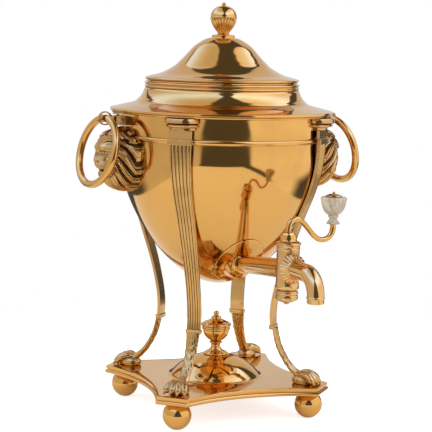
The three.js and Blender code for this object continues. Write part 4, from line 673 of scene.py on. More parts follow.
def capitalOutline(width, reach):
    # A rounded front, straight sides and a back along the vessel's curve.
    half, r = width / 2, 0.43 * width
    left = arc((reach - r, r - half), r, 10, end=0)
    y = np.linspace(half, -half, 14)
    return np.vstack([left, left[::-1] * (1, -1), np.stack([np.sqrt(capital["back"] ** 2 - y ** 2), y], -1)])


def makeCapital():
    # Each row is a width, a reach and a height. The tables count from the neck's foot and from the slab.
    width, reach, low, top = pick(capital, "width reach bottom top")
    neck = capital["neck"], capital["neckReach"], low
    a = np.linspace(-np.pi / 2, np.pi / 2, 9)
    start, swell = np.array(capital["ovolo"])
    ovolo = start + np.stack([np.cos(a), np.cos(a), np.sin(a)], -1) * swell
    rows = np.vstack([laid([*capital["foot"], *ovolo, capital["neckTop"]], neck),
                      laid(capital["slabLow"], (width, reach, low)),
                      laid(capital["slabHigh"], (width, reach, top))])
    return shown("capital", [level(capitalOutline(w, out), z) for w, out, z in rows], sharp=40)


leg, capitalPiece = makeLeg(), makeCapital()
for corner, degrees in corners.items():
    dress(copied(leg, "leg_" + corner, degrees), "urn", "leg_" + corner, castBrass)
    dress(copied(capitalPiece, "capital_" + corner, degrees), "urn", "capital_" + corner, castBrass)
bpy.data.objects.remove(leg)
bpy.data.objects.remove(capitalPiece)
print("legs")

# Lion masks with a mane of locks round the face

mask = {"centre": 268, "tall": 67, "wide": 68, "reach": 141, "locks": 13, "dome": 0.72, "blunt": 4,
        "notch": 0.07, "twist": 0.9, "edge": 1.4, "grooves": [(13, 1.6, 1.3), (39, 1.0, 1.2), (91, 0.4, 1)],
        "bumps": [(0, 0.68, 0.55, 0.24, 0.2), (0.24, 0.36, 0.17, 0.12, 0.16), (0, 0.1, 0.13, 0.34, 0.26),
                  (0.14, -0.16, 0.19, 0.15, 0.13), (0, -0.5, 0.26, 0.2, 0.12),
                  (0.78, 0.62, 0.15, 0.15, 0.22)],
        "features": [(0.25, 0.20, 0.13, 0.075, -0.13), (0.25, 0.195, 0.055, 0.042, 0.10),
                     (0.25, 0.285, 0.15, 0.035, 0.05), (0.085, -0.075, 0.035, 0.04, -0.08),
                     (0, -0.02, 0.11, 0.05, 0.03), (0, -0.335, 0.30, 0.035, -0.17),
                     (0, -0.2, 0.018, 0.1, -0.06), (0.42, -0.02, 0.14, 0.2, 0.06),
                     (0, 0.40, 0.022, 0.13, -0.05), (0.07, 0.43, 0.02, 0.1, -0.03),
                     (0.78, 0.62, 0.07, 0.08, -0.17), (0.45, -0.3, 0.05, 0.16, -0.05)]}


def maskDepth(across, up, rim, angle):
    # A blunt dome plus soft bumps, rise e^-(dy/wide)^2-(dz/high)^2, and short fur on the face.
    depth = mask["dome"] * np.sqrt(np.clip(1 - np.hypot(across, up) ** mask["blunt"], 0, 1))
    for y, z, wide, high, rise in mask["bumps"] + mask["features"]:
        depth = depth + rise * np.exp(-(((np.abs(across) - y) / wide) ** 2 + ((up - z) / high) ** 2))
    fade = np.clip(rim / 0.3, 0, 1) * np.clip((0.68 - rim) / 0.16, 0, 1)
    return depth + 0.008 * np.cos(31 * angle + 9 * rim) * fade


def lockPhase(across, rim, angle):
    # angle + side (twist (1 - sqrt(1 - rim^4)) + rim / 3), which sweeps the locks down towards the wall
    back = 1 - np.sqrt(np.clip(1 - rim ** mask["blunt"], 0, 1))
    sweep = mask["twist"] * back + rim / 3
    return angle + np.tanh(across / 0.3) * sweep + 0.07 * np.sin(9 * rim + 5 * angle)


def maneGrooves(across, rim, angle):
    # Grooves (1 - |cos(n phase / 2)|)^sharp between the broad locks, the strands on them and their hairs
    phase = lockPhase(across, rim, angle)
    depth = sum(deep * (1 - ridges(count, phase)) ** sharp for count, deep, sharp in mask["grooves"])
    return depth * np.clip((rim - 0.5) / 0.16, 0, 1)


def wallAt(across, height):
    # Distance along X of the vessel's skin, with its band, at a place across and up.
    low, high = urn["bandBottom"] - clearance, urn["bandBottom"] + urn["bandHeight"] + clearance
    reach = bodyReach(height) + clearance + (height > low) * (height < high) * urn["bandProud"]
    return np.sqrt(np.clip(reach ** 2 - across ** 2, 1, None))


def maskGrid():
    rims = np.sin(np.linspace(0.012, np.pi / 2, 110))[:, None]
    angle = np.linspace(0, 2 * np.pi, 520, endpoint=False)[None]
    across, up = rims * np.cos(angle), rims * np.sin(angle)
    phase = lockPhase(across, rims, angle)
    drawnIn = 1 - mask["notch"] * rims ** 6 * (1 - ridges(mask["locks"], phase))
    depth = maskDepth(across, up, rims, angle)
    front = np.clip(urn["radius"] + (mask["reach"] - urn["radius"]) * depth, None, mask["reach"])
    y, z = across * drawnIn * mask["wide"] / 2, mask["centre"] + up * drawnIn * mask["tall"] / 2
    smooth = np.stack([front, y, z], -1)
    wrapped = np.concatenate([smooth[:, -1:], smooth, smooth[:, :1]], 1)
    normal = np.cross(np.gradient(wrapped, axis=0), np.gradient(wrapped, axis=1))[:, 1:-1]
    normal /= np.linalg.norm(normal, axis=-1)[..., None] + 1e-9
    normal *= np.sign(normal[:1, :1, :1])
    face = smooth - normal * maneGrooves(across, rims, angle)[..., None]
    behind = wallAt(face[..., 1], face[..., 2])
    face[..., 0] = np.maximum(face[..., 0], behind + mask["edge"])
    back = np.stack([behind, face[..., 1], face[..., 2]], -1)[::-3]
    return np.concatenate([face, back])


def bevelled(name, width):
    # A CAD node keeps its own mesh and has its edges softened.
    bevel = frame["nodes"][name].modifiers.new("edges", "BEVEL")
    bevel.width, bevel.segments, bevel.limit_method, bevel.angle_limit = width * mm, 2, "ANGLE", 0.7


# Ring handles in their eyes

ring = {"radius": 34.5, "wire": 3.8, "reach": 129.5, "height": 309.6, "lean": 14, "twist": 10}
eye = {"bore": 5.8, "wall": 1.3, "length": 4.8, "tailStart": 109.9, "tailLow": 303.9, "tailTop": 311.9}


def ringGrid():
    # Torus: (R + r cos b) round the circle and r sin b off its plane, then leaned out and twisted.
    a = np.linspace(0, 2 * np.pi, 200, endpoint=False)[:, None]
    b = np.linspace(0, 2 * np.pi, 36, endpoint=False)[None]
    reach = ring["radius"] + ring["wire"] * np.cos(b)
    x = ring["wire"] * np.sin(b) + 0 * a
    y, z = reach * np.sin(a), reach * np.cos(a) - ring["radius"]
    lean = math.radians(ring["lean"])
    x, z = x * math.cos(lean) - z * math.sin(lean), z * math.cos(lean) + x * math.sin(lean)
    return moved(spun(np.stack([x, y, z], -1), ring["twist"]), ring["reach"], 0, ring["height"])


def makeEye(degrees):
    half, inner = eye["length"] / 2, eye["bore"]
    outer = inner + eye["wall"]
    band = softened([(inner, 0), (inner, half), (outer, half), (outer, -half), (inner, -half),
                     (inner, 0.1)], 0.6)
    loop = aimed(turned(band, 72), (ring["reach"], 0, ring["height"]), (0, 1, 0))
    low = np.array([eye["tailStart"], -half, eye["tailLow"]])
    high = np.array([ring["reach"] - inner - 0.2, half, eye["tailTop"]])
    tail = cushion("tail", (low + high) / 2, high - low)
    piece = fused("eye", [shown("loop", loop, looped=True), tail])
    turnedPiece = copied(piece, "eye", degrees)
    bpy.data.objects.remove(piece)
    return turnedPiece


for side, degrees in sides.items():
    dress(shown("mask_" + side, spun(maskGrid(), degrees), sharp=50), "urn", "mask_" + side, castBrass)
    hoop = shown("ring_" + side, spun(ringGrid(), degrees), looped=True)
    dress(hoop, "ring_" + side, "ring_handle_" + side, spunBrass)
    dress(makeEye(degrees), "urn", "handle_eye_" + side, castBrass)
    bevelled("handle_lug_" + side, 0.5)
    bevelled("eye_rivet_" + side, 0.2)
print("masks and rings")

# Tap body: pipe, barrel, gadrooned rosette and bent spout, with the water's way through it

tap = {"reach": 164, "height": 174.2, "rise": 5.7, "barrel": 11.4, "bottom": 155.6, "top": 200.6,
       "pipeEnd": 9.4, "pipeRoot": 8.6, "bore": 3.6, "tail": 5, "bossLength": 11, "bossRoot": 15.5,
       "bossFront": 10.4, "seat": 15, "backnut": 3.6, "plugTop": 7.4, "plugBottom": 5.9,
       "plateWide": 50, "plateTall": 72, "plateThick": 0.8, "plateHole": 0.16,
       "head": [(0, 0), (0.8, -0.6), (0.8, -2.2), (0, -3), (0, -4.4), (-0.5, -4.9), (0, -5.4), (0, -6.6),
                (-0.35, -7.4)]}
spout = {"reach": 59, "height": 176.4, "bend": 19.5, "root": 8.8, "end": 8, "bore": 4.6, "mouth": 150.6,
         "rosette": 14.4, "rosetteDepth": 7.5, "lobes": 22, "lobeDepth": 0.075,
         "cone": [(8, 0), (12.2, 0.6), (14.4, 1.9), (13.68, 3.4), (12.2, 5.2), (10.6, 6.9), (9.6, 8.6),
                  (8.7, 10.2)],
         "lip": [(0.3, 0), (7.7, 0), (7.52, 3.6), (8.6, 4.5), (8.6, 6.12), (7.2, 7.92), (0.3, 7.92)]}
tilt = math.radians(tap["rise"])
pipeWay = np.array([0, -math.cos(tilt), math.sin(tilt)])
pipeMeets = np.array([0, -tap["reach"], tap["height"]])


def wallDistance():
    # Distance back along the pipe where it meets the bowl, read off a fine table of the bowl's wall.
    d = np.linspace(0, tap["reach"], 8001)
    outside = np.abs(pipeMeets[1] - pipeWay[1] * d) > bodyReach(pipeMeets[2] - pipeWay[2] * d)
    return d[outside][-1]


pipeLength = wallDistance()
bossFront = pipeLength - tap["bossLength"]
tailTip = pipeLength + tap["seat"] + tap["backnut"] + 2 * clearance


def spoutWay(start, end):
    # Level out from the barrel, a quarter circle, then straight down to the mouth.
    far, bend, height = -tap["reach"] - spout["reach"], spout["bend"], spout["height"]
    turn = arc((far + bend, height - bend), (-bend, bend), 40, np.pi / 2, 0)
    ahead = np.linspace((start, height), turn[0], 20)[:-1]
    y, z = np.vstack([ahead, turn, np.linspace(turn[-1], (far, end), 12)[1:]]).T
    return np.stack([0 * y, y, z], -1)


def makeTapBody():
    low, top, r, reach = pick(tap, "bottom top barrel reach")
    bottomBore, topBore = tap["plugBottom"] + clearance, tap["plugTop"] + clearance
    barrel = softened([(topBore, top - 1), (topBore, top), *laid(tap["head"], (r, top)), (r - 0.35, low + 5),
                       (r, low + 4), (r, low), (bottomBore, low), (bottomBore, low + 1)], 0.35)
    tail, pipeRoot, pipeEnd, bore = pick(tap, "tail pipeRoot pipeEnd bore")
    pipe = softened([(0.3, -tailTip), (tail, -tailTip), (tail, -bossFront), (pipeRoot, -bossFront),
                     (pipeRoot + 0.3, 20 - bossFront), (pipeEnd, -9.6), (pipeEnd, -9.2), (0.3, -9.2)], 0.3)
    depth, mouth, height, root, end = pick(spout, "rosetteDepth mouth height root end")
    cone = fitted(spout["cone"], 60)
    cone = np.vstack([(0.3, 0), cone, (0.3, cone[-1, 1])])
    cone[:, 0] = np.minimum(cone[:, 0], spout["rosette"])

    def ridged(z, angle):
        # Each ridge is a half wave, |cos(n a / 2)|, and all fade out at the root and at the barrel.
        fade = np.clip(z / 1.4, 0, 1) * np.clip((depth + 2.4 - z) / 3, 0, 1)
        return 1 - spout["lobeDepth"] * fade * (1 - ridges(spout["lobes"], angle))

    rosette = aimed(turned(cone, 260, ridged), (0, -reach - 8.55, height - 0.3), (0, -1, 0))
    way, inner = spoutWay(-reach - 6.84, mouth + 0.6), spoutWay(-reach - 6.2, mouth - 3)
    lip = softened(laid(spout["lip"], (0, mouth)), 0.5)
    parts = [shown("barrel", moved(turned(barrel, 96), 0, -reach), looped=True),
             shown("pipe", aimed(turned(pipe, 80), pipeMeets, pipeWay)),
             shown("rosette", rosette),
             shown("spout", alongPath(way, np.linspace(root, end, len(way)), 64)),
             shown("mouth", moved(turned(lip, 80), 0, -reach - spout["reach"]))]
    inlet = aimed(turned([(bore, -tailTip - 3), (bore, -8)], 32), pipeMeets, pipeWay)
    outlet = alongPath(inner, np.full(len(inner), spout["bore"]), 40)
    return fused("tapBody", parts, [shown("inlet", inlet), shown("outlet", outlet)], sharp=38)


def makeBoss():
    root, front, hole = tap["bossRoot"], tap["bossFront"], tap["tail"] + clearance
    wall, tip = -pipeLength, -bossFront
    horn = fitted([(root - 0.3, wall - 1.2), (root - 2.2, wall + 1.4), (front * 1.1, (wall + tip) / 2),
                   (front - 0.7, tip - 3.2)], 30)
    foot = softened([(hole, wall - 18), (root, wall - 18), (root, wall - 1.9), horn[0]], 0.4)
    rim = softened([(front, tip - 2.9), (front, tip - 0.6), (front - 0.7, tip - 0.3),
                    (hole, tip - 0.3)], 0.4)
    base = turned(np.vstack([foot, horn[1:], rim]), 112)
    offset = 2 * clearance + tap["plateThick"]
    bowl = np.vstack([bowlProfile(offset, 140), (urn["radius"] + offset, urn["rim"])])
    return fused("tapBoss", [shown("horn", aimed(base, pipeMeets, pipeWay), looped=True)],
                 [shown("bowlTool", turned(bowl, 256))], sharp=38)


def makePlate():
    # An oval laid on the bowl: each point slides along the oval's own normal until it meets the bowl.
    root = pipeMeets - pipeWay * pipeLength
    slope = (bodyReach(root[2] + 1.8) - bodyReach(root[2] - 1.8)) / 3.6
    out = np.array([0, -1, -slope]) / math.hypot(1, slope)
    across, up = np.array([1, 0, 0]), np.cross(out, [1, 0, 0])
    a = np.linspace(0, 2 * np.pi, 160, endpoint=False)[None, :, None]

    def sheet(shares, offset):
        oval = tap["plateWide"] / 2 * np.cos(a) * across + tap["plateTall"] / 2 * np.sin(a) * up
        flat = root + np.asarray(shares)[:, None, None] * oval
        low, high = np.full(flat.shape[:2], -60.0), np.full(flat.shape[:2], 30.0)
        for _ in range(40):
            middle = (low + high) / 2
            p = flat + middle[..., None] * out
            inside = np.hypot(p[..., 0], p[..., 1]) < bodyReach(p[..., 2], offset)
            low, high = np.where(inside, middle, low), np.where(inside, high, middle)
        return flat + middle[..., None] * out

    shares, thick = np.linspace(tap["plateHole"], 0.985, 26), tap["plateThick"]
    skins = [sheet(shares, clearance), sheet([1], clearance + thick / 2),
             sheet(shares[::-1], clearance + thick)]
    return shown("tapPlate", np.concatenate(skins), looped=True, sharp=50)


dress(makeTapBody(), "urn", "tap_body", tapBrass)
dress(makeBoss(), "urn", "tap_boss", spunBrass)
dress(makePlate(), "urn", "tap_plate", spunBrass)
print("tap body")

# Key of the tap: nut and washer below, bell and arm above, and the turned knob

key = {"nut": 11, "nutHeight": 9, "tip": 139.9, "stud": 3, "washer": 9, "washerThick": 1.2, "bell": 8.6,
       "bellHeight": 9.6, "bellTop": 3.8, "arm": 2.9, "length": 48, "dip": 201.6, "rise": 20.9, "end": 216.6,
       "drop": [(0.9, 0.05), (2.2, 0.5), (3.1, 1.4), (5.4, 2.5), (8.4, 3.6)],
       "nutSide": [(0.97, 1.6), (0.97, 4.4), (0.92, 4.9), (0.97, 5.4), (1, 6), (1, 7.2), (0.93, 7.7),
                   (0.93, 8.2)],
       "bellSide": [(1, 0), (1, 0.9), (0.94, 1.4), (0.92, 4.2), (0.86, 6.6), (0.74, 8.3), (0.56, 9.2)],
       "stops": [(0, 0.31), (0, 0.62), (0.05, 0.88), (0.165, 1), (0.29, 0.88), (0.42, 0.58), (0.56, 0.22),
                 (0.7, 0.02), (0.84, 0.02), (0.95, 0.2), (1, 0.5), (1, 0.7)]}


def keyPiece(name, profile, looped=False, across=0, sharp=32):
    return shown(name, moved(turned(profile, 96), across, -tap["reach"]), looped, sharp)


def makeNut():
    top = tap["bottom"] - 2 * clearance - key["washerThick"]
    low, r, tip, hole = top - key["nutHeight"], key["nut"], key["tip"], key["stud"] + clearance
    drop = fitted([*laid(key["drop"], (0, tip)), (r * 0.95, low + 0.2), (r * 0.97, low + 1.4)], 34)
    side = softened([*laid(key["nutSide"], (0, low), (r, 1)), (r * 0.97, top - 0.3), (r * 0.97, top),
                     (hole, top), (hole, top - 5.58), (0.2, top - 5.58)], 0.3)
    return keyPiece("plugNut", np.vstack([(0.2, tip), drop, side]), sharp=38)


def makeWasher():
    top, r, hole = tap["bottom"] - clearance, key["washer"], key["stud"] + clearance
    low = top - key["washerThick"]
    outline = [(hole, low + 0.5), (hole, low), (r, low), (r, top), (hole, top), (hole, low + 0.6)]
    return keyPiece("plugWasher", softened(outline, 0.25), looped=True)


def makeLever():
    base, end, length = tap["top"] + 0.9, key["end"], key["length"]
    top = base + key["bellHeight"]
    bell = softened([(0.3, base), *laid(key["bellSide"], (0, base), (key["bell"], 1)), (key["bellTop"], top),
                     (0.3, top)], 0.6, 5)
    stops = fitted(laid(key["stops"], (0, key["dip"]), (length, key["rise"])), 150)
    r, z = stops[stops[:, 1] < end - 0.3 + 20 * (stops[:, 0] < 40)].T
    swell = key["arm"] * (0.93 + 0.07 * np.cos(np.linspace(0, 2 * np.pi, len(r))))
    arm = alongPath(moved(inPlane(r, z), 0, -tap["reach"]), swell, 32, flat=(0, 1, 0))
    square = cushion("square", (0, -tap["reach"], tap["top"] + 2.2), (7, 7, 9.6))
    pin = keyPiece("pin", [(2, end - 6.7), (2, end + 3)], across=length)
    return fused("lever", [keyPiece("bell", bell), shown("arm", arm)], [square, pin], sharp=38)


knob = {"cup": 12.7, "height": 26.4, "bore": 2.0, "cap": 8.2, "capHeight": 5, "tip": 1.4, "pin": 1.7,
        "foot": [(0.5, 0), (0.5, 1.4), (0.36, 3.2), (0.285, 5.3), (0.31, 6.3), (0.4, 6.9), (0.4, 8.1)],
        "side": [(0.62, 0.42), (0.84, 0.6), (0.945, 0.78), (0.97, 0.87)],
        "rim": [(0.97, 0.88), (1, 0.9), (1, 0.95), (0.97, 1)],
        "capSide": [(1, 0), (1, 0.7), (0.86, 1.5), (0.55, 2.5), (0.2, 2.9)]}


def makeKnob():
    r, h, bore, low = knob["cup"], knob["height"], knob["bore"], key["end"]
    foot = softened([(bore, low), *laid(knob["foot"], (0, low), (r, 1))], 0.8, 5)
    cup = fitted([(r * 0.34, low + 8.5), *laid(knob["side"], (0, low), (r, h))], 40)
    rim = softened([*laid(knob["rim"], (0, low), (r, h)), (bore, low + h)], 0.5)
    return keyPiece("knob", np.vstack([foot, cup, rim]), looped=True, across=key["length"], sharp=40)


def makeKnobCap():
    seat, pin, tip = key["end"] + knob["height"] + clearance, knob["pin"], knob["tip"]
    low = seat - knob["height"] - key["arm"]
    ball = arc((0, seat + knob["capHeight"] - tip), tip, 12, *np.radians((-50, 90)))
    side = softened([(0.2, low), (pin, low), (pin, seat),
                     *laid(knob["capSide"], (0, seat), (knob["cap"], 1))], 0.35)
    profile = np.vstack([side, ball])
    profile[-1, 0] = 0.05
    return keyPiece("knobCap", profile, across=key["length"])


dress(makeNut(), "tap_key", "plug_nut", tapBrass)
dress(makeWasher(), "tap_key", "plug_washer", fittingBrass)
dress(makeLever(), "tap_key", "tap_lever", spunBrass)
dress(makeKnob(), "tap_key", "lever_knob", knobBone)
dress(makeKnobCap(), "tap_key", "knob_cap", castBrass)
print("tap key")

# Spirit burner on the dome

burner = {"seat": 57.5, "foot": 13.2, "stem": 5.2, "stemHeight": 14.6, "bowl": 15.4, "rim": 28.5,
          "wall": 1.4, "disc": 1.6, "tube": 4.4, "tubeWall": 0.9, "tubeHeight": 5.6, "wick": 3.1,
          "wickLength": 17, "bead": 3, "capRise": 6.8, "knob": 2.9, "knobHeight": 5,
          "footSide": [(1, 0), (1, 1.4), (0.93, 1.8), (0.8, 3)],
          "stemSide": [(1.5, 4.2), (1.1, 6.3), (0.96, 8.4), (1, 11.4), (1.35, 12), (1.35, 12.9),
                       (1.02, 13.5)],
          "cup": [(0.42, 0), (0.66, 0.2), (0.83, 0.42), (0.91, 0.64), (0.925, 0.8)],
          "capSide": [(15.1, -0.5), (13.6, 0.6), (9.8, 2.2), (7, 3.4), (5.2, 4.6), (4.9, 5.6)],
          "capIn": [(5.4, 2.4), (8.8, 0.9), (12.2, -0.5)]}


def burnerPiece(name, profile, looped=False):
    return shown(name, moved(turned(profile, 128), 0, 0, burner["seat"]), looped, sharp=38)


def makeBurnerBowl():
    foot, stem, r, top, wall, stemTop = pick(burner, "foot stem bowl rim wall stemHeight")
    low = softened([(0.2, 0), *laid(burner["footSide"], 0, (foot, 1)),
                    *laid(burner["stemSide"], 0, (stem, 1))], 0.8, 5)
    cup = fitted([(stem * 1.02, 13.6), *laid(burner["cup"], (0, stemTop), (r, top - stemTop))], 50)
    rim = softened([(r * 0.92, top - 2.2), (r, top - 1.5), (r, top), (r - wall, top),
                    (r - wall, top - 2)], 0.3)
    inner = cup[12:][::-1] + (-wall, wall * 0.3)
    inner = inner[inner[:, 0] > 1]
    return burnerPiece("burnerBowl", np.vstack([low, cup[1:], rim, inner, (0.2, inner[-1, 1])]))


def makeBurnerTop():
    bowl, tube, disc = pick(burner, "bowl tube disc")
    seat, inner = burner["rim"] + clearance, tube - burner["tubeWall"]
    plug = bowl - burner["wall"] - clearance
    low, top = seat - 2 * disc, seat + disc
    tip = top + burner["tubeHeight"]
    outline = [(inner, seat), (inner, low), (plug, low), (plug, seat), (bowl, seat), (bowl, top),
               (tube, top), (tube, tip), (inner, tip), (inner, seat + 0.2)]
    return burnerPiece("burnerTop", softened(outline, 0.3), looped=True)


def makeWick():
    r, top = burner["wick"], burner["rim"] + clearance + burner["disc"] + burner["tubeHeight"] + 0.9
    low = top - burner["wickLength"]
    return burnerPiece("wick", softened([(0.2, low), (r, low), (r, top), (0.2, top)], 1.0, 6))


def makeBurnerCap():
    r, rim, wall, ball = pick(burner, "bowl rim wall knob")
    seat = rim + 2 * clearance + burner["disc"]
    low = seat + burner["bead"]
    top = low + burner["capRise"]
    bead = arc((r * 1.02, seat + 0.95), (0.6, 0.85), 11)
    outer = softened([(r, seat + 1.9), *laid(burner["capSide"], (0, low)), (4.6, top),
                      (2.4, top + 0.5)], 0.7, 5)
    knobTop = arc((0, top + burner["knobHeight"] * 0.58), ball, 24, *np.radians((-50, 89)))
    inner = [(0.05, top - 1.6), (1, top - 1.6), (3.2, top - 2), *laid(burner["capIn"], (0, low)),
             (r - wall, seat)]
    return burnerPiece("burnerCap", np.vstack([bead, outer, knobTop, inner]), looped=True)


dress(makeBurnerBowl(), "burner", "burner_bowl", spunBrass)
dress(makeBurnerTop(), "burner", "burner_top", spunBrass)
dress(makeWick(), "burner", "burner_wick", wickCotton)
dress(makeBurnerCap(), "burner_cap", "burner_cap", spunBrass)
print("burner")

# Camera, floor and light

view = {"azimuth": 24.3, "distance": 1572.9, "height": 398.1, "pitch": 0.1217, "roll": 0.0243,
        "pan": -0.0019, "lens": 124.55}


def setCamera():
    a = math.radians(view["azimuth"])
    right = Vector((math.cos(a), -math.sin(a), 0))
    toward = Vector((-math.sin(a), -math.cos(a), 0))
    up = Vector((0, 0, 1))
    ahead = -toward * math.cos(view["pan"]) + right * math.sin(view["pan"])
    side = ahead.cross(up).normalized()
    ahead, up = (ahead * math.cos(view["pitch"]) - up * math.sin(view["pitch"]),
                 up * math.cos(view["pitch"]) + ahead * math.sin(view["pitch"]))
    c, s = math.cos(view["roll"]), math.sin(view["roll"])
    side, up = side * c + up * s, up * c - side * s
    data = bpy.data.cameras.new("camera")
    data.sensor_width, data.lens, data.clip_end = 36, view["lens"], 50
    camera = placed("camera", data)
    turn = Matrix((side, up, -ahead)).transposed().to_4x4()
    place = (toward * view["distance"] + Vector((0, 0, view["height"]))) * mm
    camera.matrix_world = Matrix.Translation(place) @ turn
    bpy.context.scene.camera = camera


setCamera()
bpy.context.scene.view_settings.view_transform = "Standard"

# Slit is half the dark gap between the two softboxes, in degrees, at angles over the camera's horizon.
# The softboxes end at the rear where toward = -(a + b |x| + c x), and below lowTop as far round as lowReach.
studio = {"tableHalf": 0.5, "tableFront": 1.15, "tableBack": 0.5, "room": 1.3, "roomHeight": 0.2,
          "slitAt": 6, "slitSoft": 2.5,
          "slit": [(-60, 50), (-30, 46), (-18, 36), (-10, 27), (4, 24), (18, 19), (30, 13), (38, 8),
                   (46, 3.5), (52, 4), (60, 7), (72, 10), (90, 12), (106, 13), (116, 17), (125, 24),
                   (135, 45)],
          "rear": (0.32, 0.95, 0.1), "lowTop": 0.3, "lowReach": [(-0.3, 100), (-0.12, 130), (0, 145)],
          "backdropSide": (0.86, 0.76), "backdropTop": (1.5, 1.4),
          "left": 0.62, "right": 0.98, "hot": 0.85, "hotAt": 44, "hotSpread": 14, "hotTint": (0.35, 1, 3.2),
          "backdrop": 0.64, "roomGlow": 0.07, "lampSize": 1.3, "lampDistance": 1.8, "lampAngle": 66,
          "lampRaise": 1.2, "lampPower": 9, "ambient": 0.85}


def staged(name, points, faces, material):
    mesh = bpy.data.meshes.new(name)
    mesh.from_pydata(points.reshape(-1, 3).tolist(), [], faces)
    mesh.materials.append(material)
    thing = placed(name, mesh)
    return thing


def facingCamera(x, y, z):
    # From the camera's own right, back and up to the urn's axes.
    a = math.radians(view["azimuth"])
    return np.stack([x * math.cos(a) + y * math.sin(a), y * math.cos(a) - x * math.sin(a), z + 0 * x], -1)


def makeTable():
    # White paper. Seen straight on it adds a little light of its own, so that it comes out white.
    half, front, back = pick(studio, "tableHalf tableFront tableBack")
    material, tree, shader, place = blank("tablePaper")
    fibre = node(tree, "TexNoise", {"Vector": place, "Scale": 60, "Detail": 4})
    tone = node(tree, "MapRange", {"Value": fibre, "To Min": 0.86, "To Max": 0.9})
    colour = node(tree, "CombineColor", {"Red": tone, "Green": tone, "Blue": tone})
    rays = node(tree, "LightPath").outputs
    toEye = node(tree, "Math", {0: rays["Is Camera Ray"], 1: 0.68}, operation="MULTIPLY")
    glow = node(tree, "Math", {0: rays["Is Glossy Ray"], 1: 0.08, 2: toEye}, operation="MULTIPLY_ADD")
    wire(tree, shader, {"Base Color": colour, "Roughness": 0.9, "Specular IOR Level": 0.1,
                        "Emission Color": (1, 1, 1, 1), "Emission Strength": glow})
    x, y = np.array([(-half, -front), (half, -front), (half, back), (-half, back)]).T
    staged("table", facingCamera(x, y, 0), [[0, 1, 2, 3]], material)


def eased(value, start, end):
    # 0 before the start, 1 after the end and s^2 (3 - 2 s) between them
    s = np.clip((value - start) / (end - start), 0, 1)
    return s * s * (3 - 2 * s)


def roomGlow(x, toward, z):
    # What shines on the brass from each direction: two big softboxes with a slit between them, and a
    # white backdrop behind the urn. All the rest is the dim room.
    along = np.degrees(np.arctan2(z, toward))
    along = np.where(along < -90, along + 360, along)
    sideways = np.degrees(np.arcsin(np.clip(x, -1, 1))) - studio["slitAt"]
    slit = np.interp(along, *np.array(studio["slit"], float).T)
    inner = eased(np.abs(sideways) - slit, 0, studio["slitSoft"])
    a, b, c = studio["rear"]
    rear = eased(toward + a + b * np.abs(x) + c * x, -0.03, 0.03) * (z > studio["lowTop"])
    aside = np.degrees(np.arctan2(np.abs(x), toward))
    reach = np.interp(z, *np.array(studio["lowReach"]).T)
    low = (z <= studio["lowTop"]) * eased(aside - reach, 12, -8)
    box = inner * np.maximum(rear, low) * eased(z, -0.5, -0.47)
    away = np.maximum(-toward, 0.001)
    backdrop = eased(np.abs(x) / away, *studio["backdropSide"]) * eased(z / away, *studio["backdropTop"])
    backdrop = backdrop * eased(z, -0.03, 0) * (toward < 0)
    side = np.where(sideways < 0, studio["left"], studio["right"])
    height = np.degrees(np.arcsin(np.clip(z, -1, 1)))
    heat = np.exp(-((height - studio["hotAt"]) / studio["hotSpread"]) ** 2)
    return box * side, box * heat * studio["hot"], backdrop * studio["backdrop"] * (1 - box)


def glowCloth():
    # Plain cloth glow with a slight unevenness, and cooler light where the lamps stand close behind it.
    material, tree, shader, place = blank("glowCloth")
    folds = node(tree, "TexNoise", {"Vector": place, "Scale": 2.5})
    uneven = node(tree, "MapRange", {"Value": folds, "To Min": 0.85, "To Max": 1.15})
    glow, heat = (node(tree, "Attribute", attribute_name=name).outputs["Fac"]
                  for name in ("glow", "lampGlow"))
    plain = node(tree, "Math", {0: glow, 1: uneven}, operation="MULTIPLY")
    colour = node(tree, "CombineColor", {
        channel: node(tree, "Math", {0: heat, 1: share, 2: plain}, operation="MULTIPLY_ADD")
        for channel, share in zip(("Red", "Green", "Blue"), studio["hotTint"])})
    wire(tree, shader, {"Base Color": (0, 0, 0, 1), "Emission Color": colour, "Emission Strength": 1})
    return material


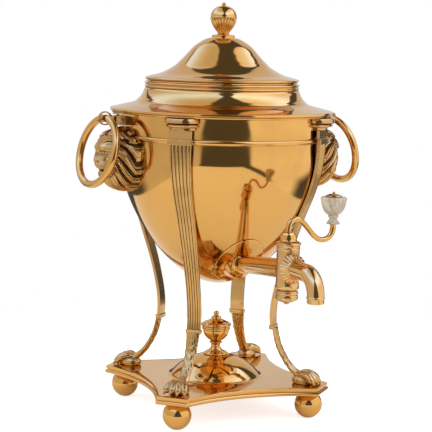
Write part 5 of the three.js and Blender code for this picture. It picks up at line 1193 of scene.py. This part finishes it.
def makeRoom():
    # A ball round the urn which only the brass sees, lit by how each direction glows.
    a = np.linspace(0, 2 * np.pi, 240, endpoint=False)[None]
    e = np.linspace(-0.6, np.pi / 2 - 0.01, 130)[:, None]
    x, toward, z = np.cos(e) * np.sin(a), np.cos(e) * np.cos(a), np.sin(e) + 0 * a
    box, heat, backdrop = roomGlow(x, toward, z)
    r = studio["room"]
    points, quads, _ = skin(facingCamera(r * x, -r * toward, r * z + studio["roomHeight"]))
    room = staged("room", points, quads.tolist(), glowCloth())
    for name, values in (("glow", box + backdrop + studio["roomGlow"]), ("lampGlow", heat)):
        layer = room.data.attributes.new(name, "FLOAT", "POINT")
        layer.data.foreach_set("value", np.append(values.ravel(), [0, 0]).astype(np.float32))
    room.visible_camera = room.visible_diffuse = room.visible_shadow = False


def makeLamp(name, angle):
    # An area lamp at an angle from the camera's direction, turned to face the urn; the brass doesn't see it.
    distance = studio["lampDistance"]
    x, y, z = distance * math.sin(angle), -distance * math.cos(angle), studio["lampRaise"]
    data = bpy.data.lights.new(name, "AREA")
    data.shape, data.size, data.energy = "SQUARE", studio["lampSize"], studio["lampPower"]
    lamp = placed(name, data)
    lamp.location = facingCamera(x, y, z).tolist()
    lamp.rotation_euler = (Vector((0, 0, 0.25)) - lamp.location).to_track_quat("-Z", "Y").to_euler()
    lamp.visible_camera = lamp.visible_glossy = False


def makeWorld():
    # White for the eye, a dim room for the brass and even light from all round for dull surfaces.
    world = bpy.context.scene.world = bpy.data.worlds.new("studio")
    world.use_nodes = True
    tree = world.node_tree
    rays = node(tree, "LightPath").outputs
    notBrass = node(tree, "MapRange", {"Value": rays["Is Camera Ray"], "To Min": studio["ambient"]})
    strength = node(tree, "Mix", {"Factor": rays["Is Glossy Ray"], "A": notBrass, "B": studio["roomGlow"]})
    wire(tree, tree.nodes["Background"], {"Color": (1, 1, 1, 1), "Strength": strength.outputs["Result"]})


makeTable()
makeRoom()
makeLamp("lampLeft", -math.radians(studio["lampAngle"]))
makeLamp("lampRight", math.radians(studio["lampAngle"]))
makeWorld()
print("studio set")
